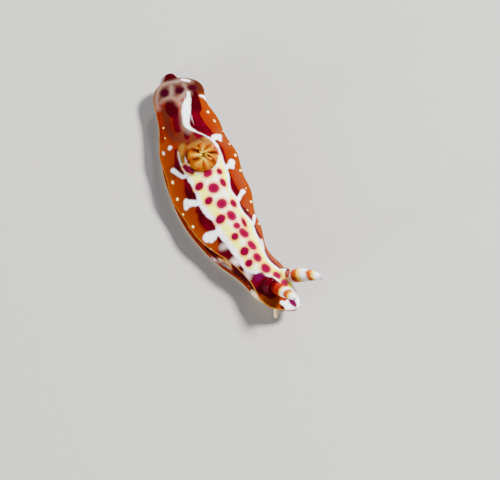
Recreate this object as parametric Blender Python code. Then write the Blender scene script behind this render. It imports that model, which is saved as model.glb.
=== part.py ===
"""A crawling sea slug, Hypselodoris yarae, life size, in metres with +Z up.

Every piece is first modelled on a straight body: X runs to the animal's left, Y from
the front edge of the mantle back to the tail, and Z up from the sole. One function,
place, then bends that straight body along a gentle S and rolls its front a little to
the left, which is the pose. The head points towards -Y.
"""

import math

import bmesh
import bpy
import numpy as np

MM = 0.001
GAP = 0.3 * MM

# Driving lengths along the body, measured back from the front edge of the mantle.
MANTLE_LENGTH = 28.5 * MM
BODY_LENGTH = 30.0 * MM
FOOT_START = 2.7 * MM
MANTLE_CUTS = (8.2 * MM, 15.2 * MM)
TRUNK_CUTS = (9.4 * MM, 16.6 * MM)
TAIL_START = 24.2 * MM

# The pose: the way the body points along its length, in degrees to its own left, and
# the roll of its front to the left, which fades down to the foot and back to the middle.
HEADINGS = (
    (0.0, -6.0), (0.06, 7.0), (0.13, 13.0), (0.25, 8.0), (0.5, -7.0), (0.75, -12.5), (1.0, -13.0),
)
ROLLS = ((0.0, 17.0), (0.16, 9.0), (0.34, 4.0), (0.52, 0.0), (1.0, 0.0))
ROLL_AXIS_HEIGHT = 1.2 * MM
ROLL_HEIGHTS = (0.35 * MM, 2.6 * MM)

# Profiles along the mantle: a share of its length, then a size in millimetres.
MANTLE_HALF_WIDTH = (
    (0.0, 2.3), (0.1, 2.5), (0.205, 1.95), (0.34, 2.95), (0.475, 3.8),
    (0.585, 4.0), (0.67, 3.9), (0.785, 3.35), (0.885, 2.75), (1.0, 3.0),
)
RIDGE_HEIGHT = (
    (0.0, 2.9), (0.06, 3.4), (0.126, 3.8), (0.243, 4.1), (0.437, 4.5),
    (0.6, 4.5), (0.758, 4.1), (0.894, 3.35), (1.0, 2.6),
)
EDGE_HEIGHT = (
    (0.0, 2.7), (0.1, 2.6), (0.22, 2.5), (0.39, 2.4), (0.58, 2.4), (0.78, 2.4), (1.0, 2.4),
)
# The left of the front is drawn in: millimetres back from the front, then a share.
LEFT_DRAWN_IN = ((0.0, 0.5), (1.0, 0.5), (2.2, 0.54), (3.4, 0.7), (4.6, 0.92), (6.0, 1.0))
FRONT_ROUND_LEFT = 2.4 * MM
FRONT_ROUND_RIGHT = 1.7 * MM
REAR_ROUND = 2.2 * MM
LIP_ROUND = 0.35 * MM
MANTLE_EDGE = 0.55 * MM
DOME_POWER = 1.25
MARGIN_WAVE = 0.10 * MM
MARGIN_WAVELENGTH = 4.6 * MM
UPTURN_AT = 7.6 * MM
UPTURN_SPREAD = 1.6 * MM
UPTURN_HEIGHT = 0.8 * MM

# The foot and the flanks above it, as shares of the mantle's half-width. The foot's
# share is given along the mantle.
FOOT_SHARES = ((0.0, 0.62), (0.1, 0.66), (0.2, 0.86), (0.3, 0.94), (1.0, 0.94))
TRUNK_SHARE = 0.78
TRUNK_WAIST = 0.90
FOOT_HEIGHT = 0.7 * MM
FOOT_EDGE = 0.5 * MM
FOOT_ROUND = 1.5 * MM

TAIL_HALF_WIDTH = ((0.0, 2.6), (0.3, 2.3), (0.6, 1.7), (0.85, 0.9), (1.0, 0.35))
TAIL_RIDGE = ((0.0, 1.5), (0.35, 1.4), (0.7, 1.05), (1.0, 0.55))

HEAD_BACK = FOOT_START - GAP
HEAD_REACH = 1.35 * MM
HEAD_HALF_WIDTH = 1.15 * MM
HEAD_HALF_HEIGHT = 0.68 * MM
HEAD_HEIGHT = 1.08 * MM
LIP_RADIUS = 0.34 * MM
LIP_ASIDE = 0.26 * MM

TENTACLE_LENGTH = 0.9 * MM
TENTACLE_RADIUS = 0.30 * MM

RHINOPHORE_AT = 3.2 * MM
RHINOPHORE_ASIDE = 1.0 * MM
LEFT_LEAN_AND_SPLAY = (math.radians(36.0), math.radians(18.0))
RIGHT_LEAN_AND_SPLAY = (math.radians(52.0), math.radians(8.0))
RHINOPHORE_LENGTH = 3.5 * MM
RHINOPHORE_RADIUS = 0.66 * MM
LAMELLAE = 8
LAMELLA_DEPTH = 0.16
LAMELLA_SLANT = 0.9
SHEATH_RADIUS = 0.86 * MM
SHEATH_HEIGHT = 0.45 * MM
SHEATH_ROOT = 0.9 * MM

GILL_AT = 18.35 * MM
GILL_LEAVES = 8
GILL_BASE_RADIUS = 0.95 * MM
GILL_LEAF_HEIGHT = 1.5 * MM
GILL_LEAF_WIDTH = 0.74 * MM
GILL_LEAF_THICKNESS = 0.50 * MM
POCKET_RADIUS = 1.48 * MM
POCKET_DEPTH = 0.62 * MM
RIM_RADIUS = 1.70 * MM
RIM_HALF_WIDTH = 0.28 * MM
RIM_HEIGHT = 0.30 * MM

ORANGE = (0.66, 0.17, 0.02, 1.0)
CREAM = (0.88, 0.80, 0.62, 1.0)
MAROON = (0.30, 0.02, 0.04, 1.0)
AMBER = (0.80, 0.30, 0.03, 1.0)


def clear_scene():
    for item in list(bpy.data.objects):
        bpy.data.objects.remove(item, do_unlink=True)


def smoothstep(value):
    value = min(1.0, max(0.0, value))
    return value * value * (3.0 - 2.0 * value)


def curve_at(share, stations):
    """A smooth curve through (share, value) stations, with no overshoot."""
    xs = np.array([x for x, _ in stations])
    ys = np.array([y for _, y in stations])
    slopes = np.diff(ys) / np.diff(xs)
    tangents = np.concatenate([slopes[:1], (slopes[:-1] + slopes[1:]) / 2.0, slopes[-1:]])
    flat = np.concatenate([[False], slopes[:-1] * slopes[1:] <= 0.0, [False]])
    tangents[flat] = 0.0
    share = min(xs[-1], max(xs[0], share))
    i = min(len(xs) - 2, int(np.searchsorted(xs, share, side="right")) - 1)
    step = xs[i + 1] - xs[i]
    t = (share - xs[i]) / step
    value = (
        (2 * t**3 - 3 * t**2 + 1) * ys[i]
        + (t**3 - 2 * t**2 + t) * step * tangents[i]
        + (3 * t**2 - 2 * t**3) * ys[i + 1]
        + (t**3 - t**2) * step * tangents[i + 1]
    )
    return float(value)


def profile(share, stations):
    """A size in metres from stations in millimetres."""
    return curve_at(share, stations) * MM


def round_end(distance, reach):
    """The share of full size at a distance from a rounded end, as on an ellipse."""
    left = 1.0 - min(1.0, max(0.0, distance / reach))
    return math.sqrt(max(0.0, 1.0 - left * left))


def mantle_half_width(s, side):
    width = profile(s / MANTLE_LENGTH, MANTLE_HALF_WIDTH)
    wave = MARGIN_WAVE * math.sin(2.0 * math.pi * s / MARGIN_WAVELENGTH + 1.3 * side)
    front = FRONT_ROUND_LEFT if side > 0 else FRONT_ROUND_RIGHT
    ends = round_end(s, front) * round_end(MANTLE_LENGTH - s, REAR_ROUND)
    drawn_in = curve_at(s / MM, LEFT_DRAWN_IN) if side > 0 else 1.0
    return (width + wave) * ends * drawn_in


def edge_height(s, side):
    """Height of the mantle's free edge; side is 1 on the left and -1 on the right."""
    height = profile(s / MANTLE_LENGTH, EDGE_HEIGHT)
    wave = MARGIN_WAVE * math.sin(2.0 * math.pi * s / (MARGIN_WAVELENGTH * 1.2) - 0.8 * side)
    upturn = 0.0
    if side < 0:
        upturn = UPTURN_HEIGHT * math.exp(-(((s - UPTURN_AT) / UPTURN_SPREAD) ** 2))
    return height + wave + upturn


def mantle_top(v, s):
    """Height of the back at v across and s along the straight body."""
    side = 1.0 if v >= 0 else -1.0
    across = min(1.0, abs(v) / max(mantle_half_width(s, side), 1e-6))
    base = profile(s / MANTLE_LENGTH, EDGE_HEIGHT)
    ridge = profile(s / MANTLE_LENGTH, RIDGE_HEIGHT)
    dome = (1.0 - across * across) ** DOME_POWER
    return base + (ridge - base) * dome + (edge_height(s, side) - base) * across**4


def mantle_floor(s):
    """Height of the mantle's underside over the flanks."""
    return profile(s / MANTLE_LENGTH, EDGE_HEIGHT) - MANTLE_EDGE


def mantle_under(v, s):
    """Height of the mantle's underside, which follows the waves of its free edge."""
    side = 1.0 if v >= 0 else -1.0
    across = min(1.0, abs(v) / max(mantle_half_width(s, side), 1e-6))
    base = profile(s / MANTLE_LENGTH, EDGE_HEIGHT)
    return mantle_floor(s) + (edge_height(s, side) - base) * across**4


def spine():
    """The posed midline: distances along the body, where each lies, and its heading."""
    along = np.linspace(-0.05, 1.05, 221) * BODY_LENGTH
    heading = np.radians([curve_at(s / BODY_LENGTH, HEADINGS) for s in along])
    step = along[1] - along[0]
    x = np.cumsum(-np.sin(heading)) * step
    y = np.cumsum(np.cos(heading)) * step
    middle = len(along) // 2
    return along, x - x[middle], y - y[middle], heading


SPINE = spine()


def place(v, s, z):
    """From the straight body to the posed one."""
    along, xs, ys, headings = SPINE
    x, y, heading = (float(np.interp(s, along, line)) for line in (xs, ys, headings))
    low, high = ROLL_HEIGHTS
    roll = math.radians(curve_at(s / BODY_LENGTH, ROLLS)) * smoothstep((z - low) / (high - low))
    rise = z - ROLL_AXIS_HEIGHT
    across = v * math.cos(roll) + rise * math.sin(roll)
    height = ROLL_AXIS_HEIGHT + rise * math.cos(roll) - v * math.sin(roll)
    return (x + across * math.cos(heading), y + across * math.sin(heading), height)


def material(name, colour, roughness):
    made = bpy.data.materials.new(name)
    made.use_nodes = True
    shader = made.node_tree.nodes["Principled BSDF"]
    shader.inputs["Base Color"].default_value = colour
    shader.inputs["Roughness"].default_value = roughness
    shader.inputs["Metallic"].default_value = 0.0
    return made


def new_object(name, mesh_data):
    mesh = bpy.data.meshes.new(name)
    mesh_data.to_mesh(mesh)
    mesh_data.free()
    made = bpy.data.objects.new(name, mesh)
    bpy.context.scene.collection.objects.link(made)
    return made


def loft(name, rings, first_pole=None, last_pole=None):
    """A closed body through rings of points, each end a flat cap or a single point."""
    body = bmesh.new()
    loops = [[body.verts.new(point) for point in ring] for ring in rings]
    count = len(rings[0])
    for ahead, behind in zip(loops, loops[1:]):
        for i in range(count):
            j = (i + 1) % count
            body.faces.new((ahead[i], ahead[j], behind[j], behind[i]))
    for loop, pole, flip in ((loops[0], first_pole, True), (loops[-1], last_pole, False)):
        if pole is None:
            body.faces.new(loop[::-1] if flip else loop)
            continue
        tip = body.verts.new(pole)
        for i in range(count):
            j = (i + 1) % count
            body.faces.new((loop[j], loop[i], tip) if flip else (loop[i], loop[j], tip))
    bmesh.ops.recalc_face_normals(body, faces=body.faces)
    return new_object(name, body)


def joined(base, others, operation="UNION"):
    """Base with the others joined to it, or cut from it, in one applied Boolean."""
    group = bpy.data.collections.new(base.name + "_joins")
    bpy.context.scene.collection.children.link(group)
    for other in others:
        bpy.context.scene.collection.objects.unlink(other)
        group.objects.link(other)
    modifier = base.modifiers.new("join", "BOOLEAN")
    modifier.operation = operation
    modifier.operand_type = "COLLECTION"
    modifier.collection = group
    modifier.solver = "EXACT"
    graph = bpy.context.evaluated_depsgraph_get()
    mesh = bpy.data.meshes.new_from_object(base.evaluated_get(graph))
    base.modifiers.clear()
    base.data = mesh
    for other in list(group.objects):
        bpy.data.objects.remove(other, do_unlink=True)
    bpy.data.collections.remove(group)
    return base


def keep_largest(body):
    """Drops every closed surface of a mesh but the largest."""
    left = set(body.verts)
    groups = []
    while left:
        group, stack = set(), [left.pop()]
        while stack:
            vert = stack.pop()
            group.add(vert)
            linked = {edge.other_vert(vert) for edge in vert.link_edges} & left
            left -= linked
            stack.extend(linked)
        groups.append(group)
    groups.sort(key=len)
    scraps = [vert for group in groups[:-1] for vert in group]
    bmesh.ops.delete(body, geom=scraps, context="VERTS")


def finish(made, look):
    """Triangulates a straight piece, poses it and gives it its material."""
    body = bmesh.new()
    body.from_mesh(made.data)
    keep_largest(body)
    bmesh.ops.triangulate(body, faces=body.faces)
    for vert in body.verts:
        vert.co = place(*vert.co)
    body.to_mesh(made.data)
    body.free()
    made.data.shade_smooth()
    made.data.set_sharp_from_angle(angle=math.radians(40.0))
    made.data.materials.clear()
    made.data.materials.append(look)
    made.parent = bpy.data.objects["slug"]
    return made


def spaced(start, end, count, ease_start=False, ease_end=False):
    """Stations from start to end, crowded towards an eased end."""
    stations = []
    for i in range(count):
        t = i / (count - 1)
        if ease_start and ease_end:
            t = (1.0 - math.cos(math.pi * t)) / 2.0
        elif ease_start:
            t = 1.0 - math.cos(math.pi * t / 2.0)
        elif ease_end:
            t = math.sin(math.pi * t / 2.0)
        stations.append(start + (end - start) * t)
    return stations


def mantle_ring(s):
    """One cross-section of the mantle: over the back, round each lip and along the floor."""
    top_points = 25
    floor_points = 7
    round_up = round_end(s, LIP_ROUND) * round_end(MANTLE_LENGTH - s, LIP_ROUND)
    lip = MANTLE_EDGE / 2.0 * min(1.0, mantle_half_width(s, 1.0) / (1.2 * MM))
    ring = []
    for i in range(top_points):
        share = math.sin(math.pi * (0.5 - i / (top_points - 1)))
        side = 1.0 if share >= 0 else -1.0
        v = share * (mantle_half_width(s, side) - lip * 0.3)
        ring.append((v, s, mantle_top(v, s)))
    for side, from_left in ((-1.0, False), (1.0, True)):
        width = mantle_half_width(s, side)
        height = edge_height(s, side)
        edge = [(side * width, s, height - MANTLE_EDGE * 0.45)]
        edge.append((side * (width - lip * 0.6), s, height - MANTLE_EDGE * 0.95))
        if from_left:
            for k in range(-(floor_points // 2), floor_points // 2 + 1):
                v = k * 0.84 / (floor_points // 2) * width
                ring.append((v, s, mantle_under(v, s)))
            edge.reverse()
        ring.extend(edge)
    middle = mantle_floor(s) + MANTLE_EDGE / 2.0
    return [(v, y, middle + (z - middle) * round_up) for v, y, z in ring]


def mantle_piece(name, start, end, count, ease_start=False, ease_end=False):
    stations = spaced(start, end, count, ease_start, ease_end)
    poles = [None, None]
    if ease_start:
        poles[0] = (0.0, start, mantle_floor(start) + MANTLE_EDGE / 2.0)
        stations = stations[1:]
    if ease_end:
        poles[1] = (0.0, end, mantle_floor(end) + MANTLE_EDGE / 2.0)
        stations = stations[:-1]
    return loft(name, [mantle_ring(s) for s in stations], *poles)


def rhinophore_frame(side):
    """The root point on the back and three axes: along the club, forward and aside."""
    root = np.array(
        [side * RHINOPHORE_ASIDE, RHINOPHORE_AT, mantle_top(side * RHINOPHORE_ASIDE, RHINOPHORE_AT)]
    )
    lean, splay = LEFT_LEAN_AND_SPLAY if side > 0 else RIGHT_LEAN_AND_SPLAY
    along = np.array(
        [
            side * math.sin(splay),
            -math.sin(lean) * math.cos(splay),
            math.cos(lean) * math.cos(splay),
        ]
    )
    aside = np.cross(along, (0.0, -1.0, 0.0))
    aside /= np.linalg.norm(aside)
    forward = np.cross(aside, along)
    return root, along, forward, aside


def round_ring(centre, forward, aside, radius, sides, slant=0.0, along=None):
    """A ring of points round an axis, tipped along it by slant."""
    ring = []
    for i in range(sides):
        angle = 2.0 * math.pi * i / sides
        point = centre + radius * (math.cos(angle) * forward + math.sin(angle) * aside)
        if along is not None:
            point = point + slant * math.cos(angle) * along
        ring.append(tuple(point))
    return ring


def rhinophore_sheath(side):
    """The low collar that a rhinophore rises from, sunk well into the back."""
    root, along, forward, aside = rhinophore_frame(side)
    profile_points = (
        (-SHEATH_ROOT, 0.72),
        (-0.1 * MM, 1.12),
        (SHEATH_HEIGHT * 0.6, 1.0),
        (SHEATH_HEIGHT, 0.82),
    )
    rings = [
        round_ring(root + along * height, forward, aside, SHEATH_RADIUS * share, 18)
        for height, share in profile_points
    ]
    return loft("sheath", rings)


def club_radius(share):
    """Radius of a rhinophore along its length, from stalk to pointed tip."""
    return RHINOPHORE_RADIUS * profile(
        share, ((0.0, 0.86), (0.22, 1.0), (0.5, 0.93), (0.78, 0.62), (1.0, 0.2))
    ) / MM


def rhinophore(side):
    """A club whose leaves stand out of its surface as slanting ridges."""
    root, along, forward, aside = rhinophore_frame(side)
    base = root + along * (SHEATH_HEIGHT + GAP)
    rows = LAMELLAE * 4 + 3
    stalk = 0.14
    rings = []
    for i in range(rows):
        share = i / (rows - 1)
        leafed = max(0.0, (share - stalk) / (0.93 - stalk))
        wave = 0.0
        if 0.0 < leafed < 1.0:
            wave = LAMELLA_DEPTH * abs(math.sin(math.pi * LAMELLAE * leafed)) ** 0.7
        radius = club_radius(share) * (0.92 + wave)
        centre = base + along * (RHINOPHORE_LENGTH * share * 0.97)
        slant = -LAMELLA_SLANT * radius * 0.35 * smoothstep(leafed * 6.0) * smoothstep((1.0 - share) * 4.0)
        rings.append(round_ring(centre, forward, aside, radius, 16, slant, along))
    tip = tuple(base + along * RHINOPHORE_LENGTH)
    name = "rhinophore_left" if side > 0 else "rhinophore_right"
    return loft(name, rings, None, tip)


def gill_rim():
    """The raised rim of the gill's pocket, which follows the back."""
    steps = 28
    sides = 8
    rings = []
    for i in range(steps):
        angle = 2.0 * math.pi * i / steps
        ring = []
        for j in range(sides):
            turn = 2.0 * math.pi * j / sides
            reach = RIM_RADIUS + RIM_HALF_WIDTH * math.cos(turn)
            v = reach * math.cos(angle)
            s = GILL_AT + reach * math.sin(angle)
            height = mantle_top(RIM_RADIUS * math.cos(angle), GILL_AT + RIM_RADIUS * math.sin(angle))
            ring.append((v, s, height + RIM_HEIGHT * math.sin(turn) - 0.02 * MM))
        rings.append(ring)
    body = bmesh.new()
    loops = [[body.verts.new(point) for point in ring] for ring in rings]
    for i in range(steps):
        ahead, behind = loops[i], loops[(i + 1) % steps]
        for j in range(sides):
            k = (j + 1) % sides
            body.faces.new((ahead[j], ahead[k], behind[k], behind[j]))
    bmesh.ops.recalc_face_normals(body, faces=body.faces)
    return new_object("rim", body)


def upright_disc(name, centre_s, low, high, radius, sides=24):
    rings = []
    for height in (low, high):
        ring = []
        for i in range(sides):
            angle = 2.0 * math.pi * i / sides
            ring.append((radius * math.cos(angle), centre_s + radius * math.sin(angle), height))
        rings.append(ring)
    return loft(name, rings)


def gill_leaf_path(share, tall):
    """Distance from the gill's axis and height above its base, along a leaf."""
    height = GILL_LEAF_HEIGHT * tall * math.sin(share * math.pi * 0.5) ** 0.9
    bulge = math.sin(math.pi * share**0.85) ** 0.9
    reach = (0.68 + 0.58 * bulge - 0.22 * share) * MM
    return reach, height


def gill_leaf(number, base_height):
    """One leaf of the gill: a keeled blade that rises outwards and curls in at its tip."""
    angle = 2.0 * math.pi * (number + 0.5) / GILL_LEAVES
    tall = 1.0 + 0.07 * math.sin(number * 2.4)
    out = np.array([math.cos(angle), math.sin(angle), 0.0])
    aside = np.array([-math.sin(angle), math.cos(angle), 0.0])
    centre = np.array([0.0, GILL_AT, base_height])
    stations = 12
    rings = []
    for i in range(stations):
        share = i / (stations - 1)
        reach, height = gill_leaf_path(share, tall)
        ahead_reach, ahead_height = gill_leaf_path(min(1.0, share + 0.02), tall)
        back_reach, back_height = gill_leaf_path(max(0.0, share - 0.02), tall)
        tangent = out * (ahead_reach - back_reach)
        tangent = tangent + np.array([0.0, 0.0, ahead_height - back_height])
        tangent /= np.linalg.norm(tangent)
        normal = np.cross(tangent, aside)
        taper = 1.0 - 0.62 * share**1.6
        notch = 1.0 if i % 2 else 0.84
        half_width = GILL_LEAF_WIDTH / 2.0 * taper * notch
        half_depth = GILL_LEAF_THICKNESS / 2.0 * (1.0 - 0.45 * share)
        middle = centre + out * reach + np.array([0.0, 0.0, height])
        corners = (
            (0.0, 1.0), (0.75, 0.35), (1.0, -0.35), (0.45, -0.8),
            (-0.45, -0.8), (-1.0, -0.35), (-0.75, 0.35),
        )
        rings.append(
            [tuple(middle + aside * half_width * x - normal * half_depth * y) for x, y in corners]
        )
    return loft("leaf", rings)


def gill(base_low, base_high):
    """The gill's ring of leaves on a low round base that sits in its pocket."""
    base = upright_disc("gill", GILL_AT, base_low, base_high, GILL_BASE_RADIUS, 20)
    root = base_high - 0.25 * MM
    leaves = [gill_leaf(number, root) for number in range(GILL_LEAVES)]
    return joined(base, leaves)


def trunk_half_width(s, share_up):
    """Half-width of the flank: narrowest half way between the foot and the mantle."""
    widest = TRUNK_SHARE * (mantle_half_width(s, 1.0) + mantle_half_width(s, -1.0)) / 2.0
    waist = 1.0 - (1.0 - TRUNK_WAIST) * math.sin(math.pi * share_up)
    return widest * waist


def trunk_ring(s):
    low = FOOT_HEIGHT + GAP
    high = mantle_floor(s) - GAP
    levels = 5
    ring = []
    for side in (1.0, -1.0):
        climb = range(levels) if side > 0 else range(levels - 1, -1, -1)
        for i in climb:
            share = i / (levels - 1)
            v = side * trunk_half_width(s, share)
            ring.append((v, s, low + (high - low) * share))
        if side > 0:
            ring.append((0.0, s, high))
    ring.append((0.0, s, low))
    return ring


def foot_half_width(s):
    share = s / MANTLE_LENGTH
    width = curve_at(share, FOOT_SHARES) * profile(share, MANTLE_HALF_WIDTH)
    return width * (0.55 + 0.45 * round_end(s - FOOT_START, FOOT_ROUND))


def foot_ring(s):
    """One cross-section of the foot: a flat sole, a rounded edge and a gently sloping top."""
    width = foot_half_width(s)
    inner = min(width * 0.8, trunk_half_width(s, 0.0) * 1.02)
    half = (
        (width * 0.55, 0.0),
        (width - 0.18 * MM, 0.0),
        (width, FOOT_EDGE * 0.4),
        (width - 0.12 * MM, FOOT_EDGE * 0.9),
        (inner, FOOT_HEIGHT),
    )
    ring = [(v, s, z) for v, z in half]
    ring.append((0.0, s, FOOT_HEIGHT))
    ring.extend((-v, s, z) for v, z in reversed(half))
    ring.append((0.0, s, 0.0))
    return ring


def tail_ring(s):
    share = (s - TAIL_START) / (BODY_LENGTH - TAIL_START)
    width = profile(share, TAIL_HALF_WIDTH)
    ridge = profile(share, TAIL_RIDGE)
    edge = min(FOOT_EDGE, width)
    half = [
        (width * 0.55, 0.0),
        (width - 0.3 * edge, 0.0),
        (width, edge * 0.45),
        (width * 0.94, edge * 0.9),
    ]
    for across in (0.75, 0.5, 0.25):
        z = edge + (ridge - edge) * (1.0 - across**1.5)
        half.append((width * across, z))
    ring = [(v, s, z) for v, z in half]
    ring.append((0.0, s, ridge))
    ring.extend((-v, s, z) for v, z in reversed(half))
    ring.append((0.0, s, 0.0))
    return ring


def head():
    """The blunt head under the mantle's front, with two lips either side of the mouth slit."""
    rings = []
    count = 9
    for i in range(count):
        turn = math.pi / 2.0 * (i + 1) / count
        s = HEAD_BACK - HEAD_REACH * math.cos(turn)
        size = math.sin(turn)
        ring = []
        for j in range(20):
            angle = 2.0 * math.pi * j / 20
            ring.append(
                (
                    HEAD_HALF_WIDTH * size * math.cos(angle),
                    s,
                    HEAD_HEIGHT + HEAD_HALF_HEIGHT * size * math.sin(angle),
                )
            )
        rings.append(ring)
    snout = loft("head", rings, (0.0, HEAD_BACK - HEAD_REACH, HEAD_HEIGHT))
    lips = []
    for side in (1.0, -1.0):
        lip_body = bmesh.new()
        bmesh.ops.create_icosphere(lip_body, subdivisions=2, radius=LIP_RADIUS)
        bmesh.ops.scale(lip_body, vec=(0.75, 0.8, 1.1), verts=lip_body.verts)
        offset = (side * LIP_ASIDE, HEAD_BACK - HEAD_REACH + 0.12 * MM, HEAD_HEIGHT - 0.22 * MM)
        bmesh.ops.translate(lip_body, vec=offset, verts=lip_body.verts)
        lips.append(new_object("lip", lip_body))
    return joined(snout, lips)


def oral_tentacle(side):
    """A short blunt feeler beside the mouth, its root facing the head."""
    out = np.array([side * 0.50, -0.84, -0.22])
    out /= np.linalg.norm(out)
    start = np.array([side * HEAD_HALF_WIDTH * 0.72, HEAD_BACK - HEAD_REACH * 0.56, HEAD_HEIGHT])
    root = start + out * (GAP + 0.12 * MM)
    up = np.array([0.0, 0.0, 1.0])
    aside = np.cross(out, up)
    aside /= np.linalg.norm(aside)
    rise = np.cross(aside, out)
    rings = []
    for share, size in ((0.0, 1.0), (0.25, 0.98), (0.5, 0.86), (0.72, 0.72), (0.9, 0.48)):
        rings.append(
            round_ring(root + out * TENTACLE_LENGTH * share, rise, aside, TENTACLE_RADIUS * size, 12)
        )
    name = "oral_tentacle_left" if side > 0 else "oral_tentacle_right"
    return loft(name, rings, None, tuple(root + out * TENTACLE_LENGTH))


def build_mantle(orange):
    first, second = MANTLE_CUTS
    front = mantle_piece("mantle_front", 0.0, first - GAP / 2, 15, ease_start=True)
    joined(front, [rhinophore_sheath(1.0), rhinophore_sheath(-1.0)])
    finish(front, orange)
    finish(mantle_piece("mantle_middle", first + GAP / 2, second - GAP / 2, 8), orange)
    rear = mantle_piece("mantle_rear", second + GAP / 2, MANTLE_LENGTH, 18, ease_end=True)
    joined(rear, [gill_rim()])
    ridge = mantle_top(0.0, GILL_AT)
    pocket = upright_disc(
        "pocket", GILL_AT, ridge - POCKET_DEPTH, ridge + 2.0 * MM, POCKET_RADIUS, 28
    )
    joined(rear, [pocket], "DIFFERENCE")
    finish(rear, orange)


def build_trunk_and_foot(cream):
    edges = (FOOT_START, *TRUNK_CUTS, TAIL_START)
    names = ("front", "middle", "rear")
    for number, name in enumerate(names):
        start = edges[number] + (GAP / 2 if number else 0.0)
        end = edges[number + 1] - GAP / 2
        trunk = loft("trunk_" + name, [trunk_ring(s) for s in spaced(start, end, 8)])
        finish(trunk, cream)
        stations = spaced(start, end, 9, ease_start=number == 0)
        finish(loft("foot_" + name, [foot_ring(s) for s in stations]), cream)
    stations = spaced(TAIL_START + GAP / 2, BODY_LENGTH - 0.12 * MM, 11)
    tip = (0.0, BODY_LENGTH, 0.15 * MM)
    finish(loft("tail", [tail_ring(s) for s in stations], None, tip), cream)


def build_small_parts(cream, amber):
    finish(head(), cream)
    for side in (1.0, -1.0):
        finish(oral_tentacle(side), cream)
        finish(rhinophore(side), amber)
    floor = mantle_top(0.0, GILL_AT) - POCKET_DEPTH
    finish(gill(floor + GAP, floor + POCKET_DEPTH + 0.25 * MM), amber)


def centre_on_floor():
    """Moves the whole animal so that the middle of its footprint is the origin."""
    bpy.context.view_layer.update()
    corners = []
    for item in bpy.data.objects:
        if item.type == "MESH":
            corners.extend(item.matrix_world @ vert.co for vert in item.data.vertices)
    low = [min(corner[k] for corner in corners) for k in range(3)]
    high = [max(corner[k] for corner in corners) for k in range(3)]
    slug = bpy.data.objects["slug"]
    slug.location = (-(low[0] + high[0]) / 2, -(low[1] + high[1]) / 2, -low[2])
    print("box in mm:", [round((b - a) / MM, 3) for a, b in zip(low, high)])
    print("moved by mm:", [round(x / MM, 4) for x in slug.location])


def main():
    clear_scene()
    slug = bpy.data.objects.new("slug", None)
    bpy.context.scene.collection.objects.link(slug)
    build_mantle(material("mantle_skin", ORANGE, 0.3))
    build_trunk_and_foot(material("flank_skin", MAROON, 0.35))
    build_small_parts(material("head_skin", CREAM, 0.35), material("gill_skin", AMBER, 0.3))
    centre_on_floor()


main()
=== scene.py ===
# %% [markdown]
# # A crawling sea slug, Hypselodoris yarae
# The real animal is about 30 mm of soft, wet flesh: a domed mantle with a thin free
# margin, a flat foot under it, two ringed feelers (rhinophores) in front and a ring of
# feathery gills behind. This lesson dresses its solid model with one unbroken skin,
# painted by distances measured over the body, and with leaves grown by Geometry Nodes.
# The solids are loaded first and never moved.

# %% The solids as a fixed frame
import math

import bmesh
import bpy
import numpy as np
from mathutils import Matrix, Vector


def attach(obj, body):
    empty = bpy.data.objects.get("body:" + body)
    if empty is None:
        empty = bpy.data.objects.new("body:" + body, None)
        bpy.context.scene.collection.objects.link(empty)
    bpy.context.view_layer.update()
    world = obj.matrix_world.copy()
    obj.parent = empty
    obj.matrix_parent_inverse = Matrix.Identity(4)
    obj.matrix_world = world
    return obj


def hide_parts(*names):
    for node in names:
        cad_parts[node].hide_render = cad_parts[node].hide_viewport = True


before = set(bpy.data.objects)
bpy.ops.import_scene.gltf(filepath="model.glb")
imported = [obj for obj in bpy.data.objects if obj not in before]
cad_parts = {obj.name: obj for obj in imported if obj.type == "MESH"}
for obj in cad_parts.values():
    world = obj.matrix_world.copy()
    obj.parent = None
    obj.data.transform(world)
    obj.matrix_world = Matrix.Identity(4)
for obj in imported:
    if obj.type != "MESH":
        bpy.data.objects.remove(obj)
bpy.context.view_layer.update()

MM = 0.001

# %% [markdown]
# ## A straight body first, the pose last
# A bent, rolled body is hard to paint: a stripe down the middle would have to follow
# every curve. So all that follows is made on a straight body, in millimetres, as
# (v, s, z): v to the animal's left, s back from the front edge of the mantle and z up.
# One function, place, bends it into the pose of the solids. Profiles are smooth curves
# through a few stations, which give the widths and heights along the body.

# %% Smooth profiles through stations
def curve_at(share, stations):
    """A smooth curve through (share, value) stations, with no overshoot."""
    xs, ys = np.array(stations, dtype=float).T
    slopes = np.diff(ys) / np.diff(xs)
    tangents = np.concatenate([slopes[:1], (slopes[:-1] + slopes[1:]) / 2, slopes[-1:]])
    flat = np.concatenate([[False], slopes[:-1] * slopes[1:] <= 0, [False]])
    tangents[flat] = 0.0
    share = np.clip(share, xs[0], xs[-1])
    i = np.clip(np.searchsorted(xs, share, side="right") - 1, 0, len(xs) - 2)
    step = xs[i + 1] - xs[i]
    t = (share - xs[i]) / step
    from_start = (2 * t**3 - 3 * t**2 + 1) * ys[i] + (t**3 - 2 * t**2 + t) * step * tangents[i]
    return from_start + (3 * t**2 - 2 * t**3) * ys[i + 1] + (t**3 - t**2) * step * tangents[i + 1]


def ease(value, low=0.0, high=1.0):
    """0 below low, 1 above high and a soft step between. Low may be above high."""
    t = np.clip((value - low) / (high - low), 0.0, 1.0)
    return t * t * (3 - 2 * t)


def round_end(distance, reach):
    """The share of full size at a distance from a rounded end, as on an ellipse."""
    left = 1 - np.clip(distance / reach, 0.0, 1.0)
    return np.sqrt(np.maximum(0.0, 1 - left * left))


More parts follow.
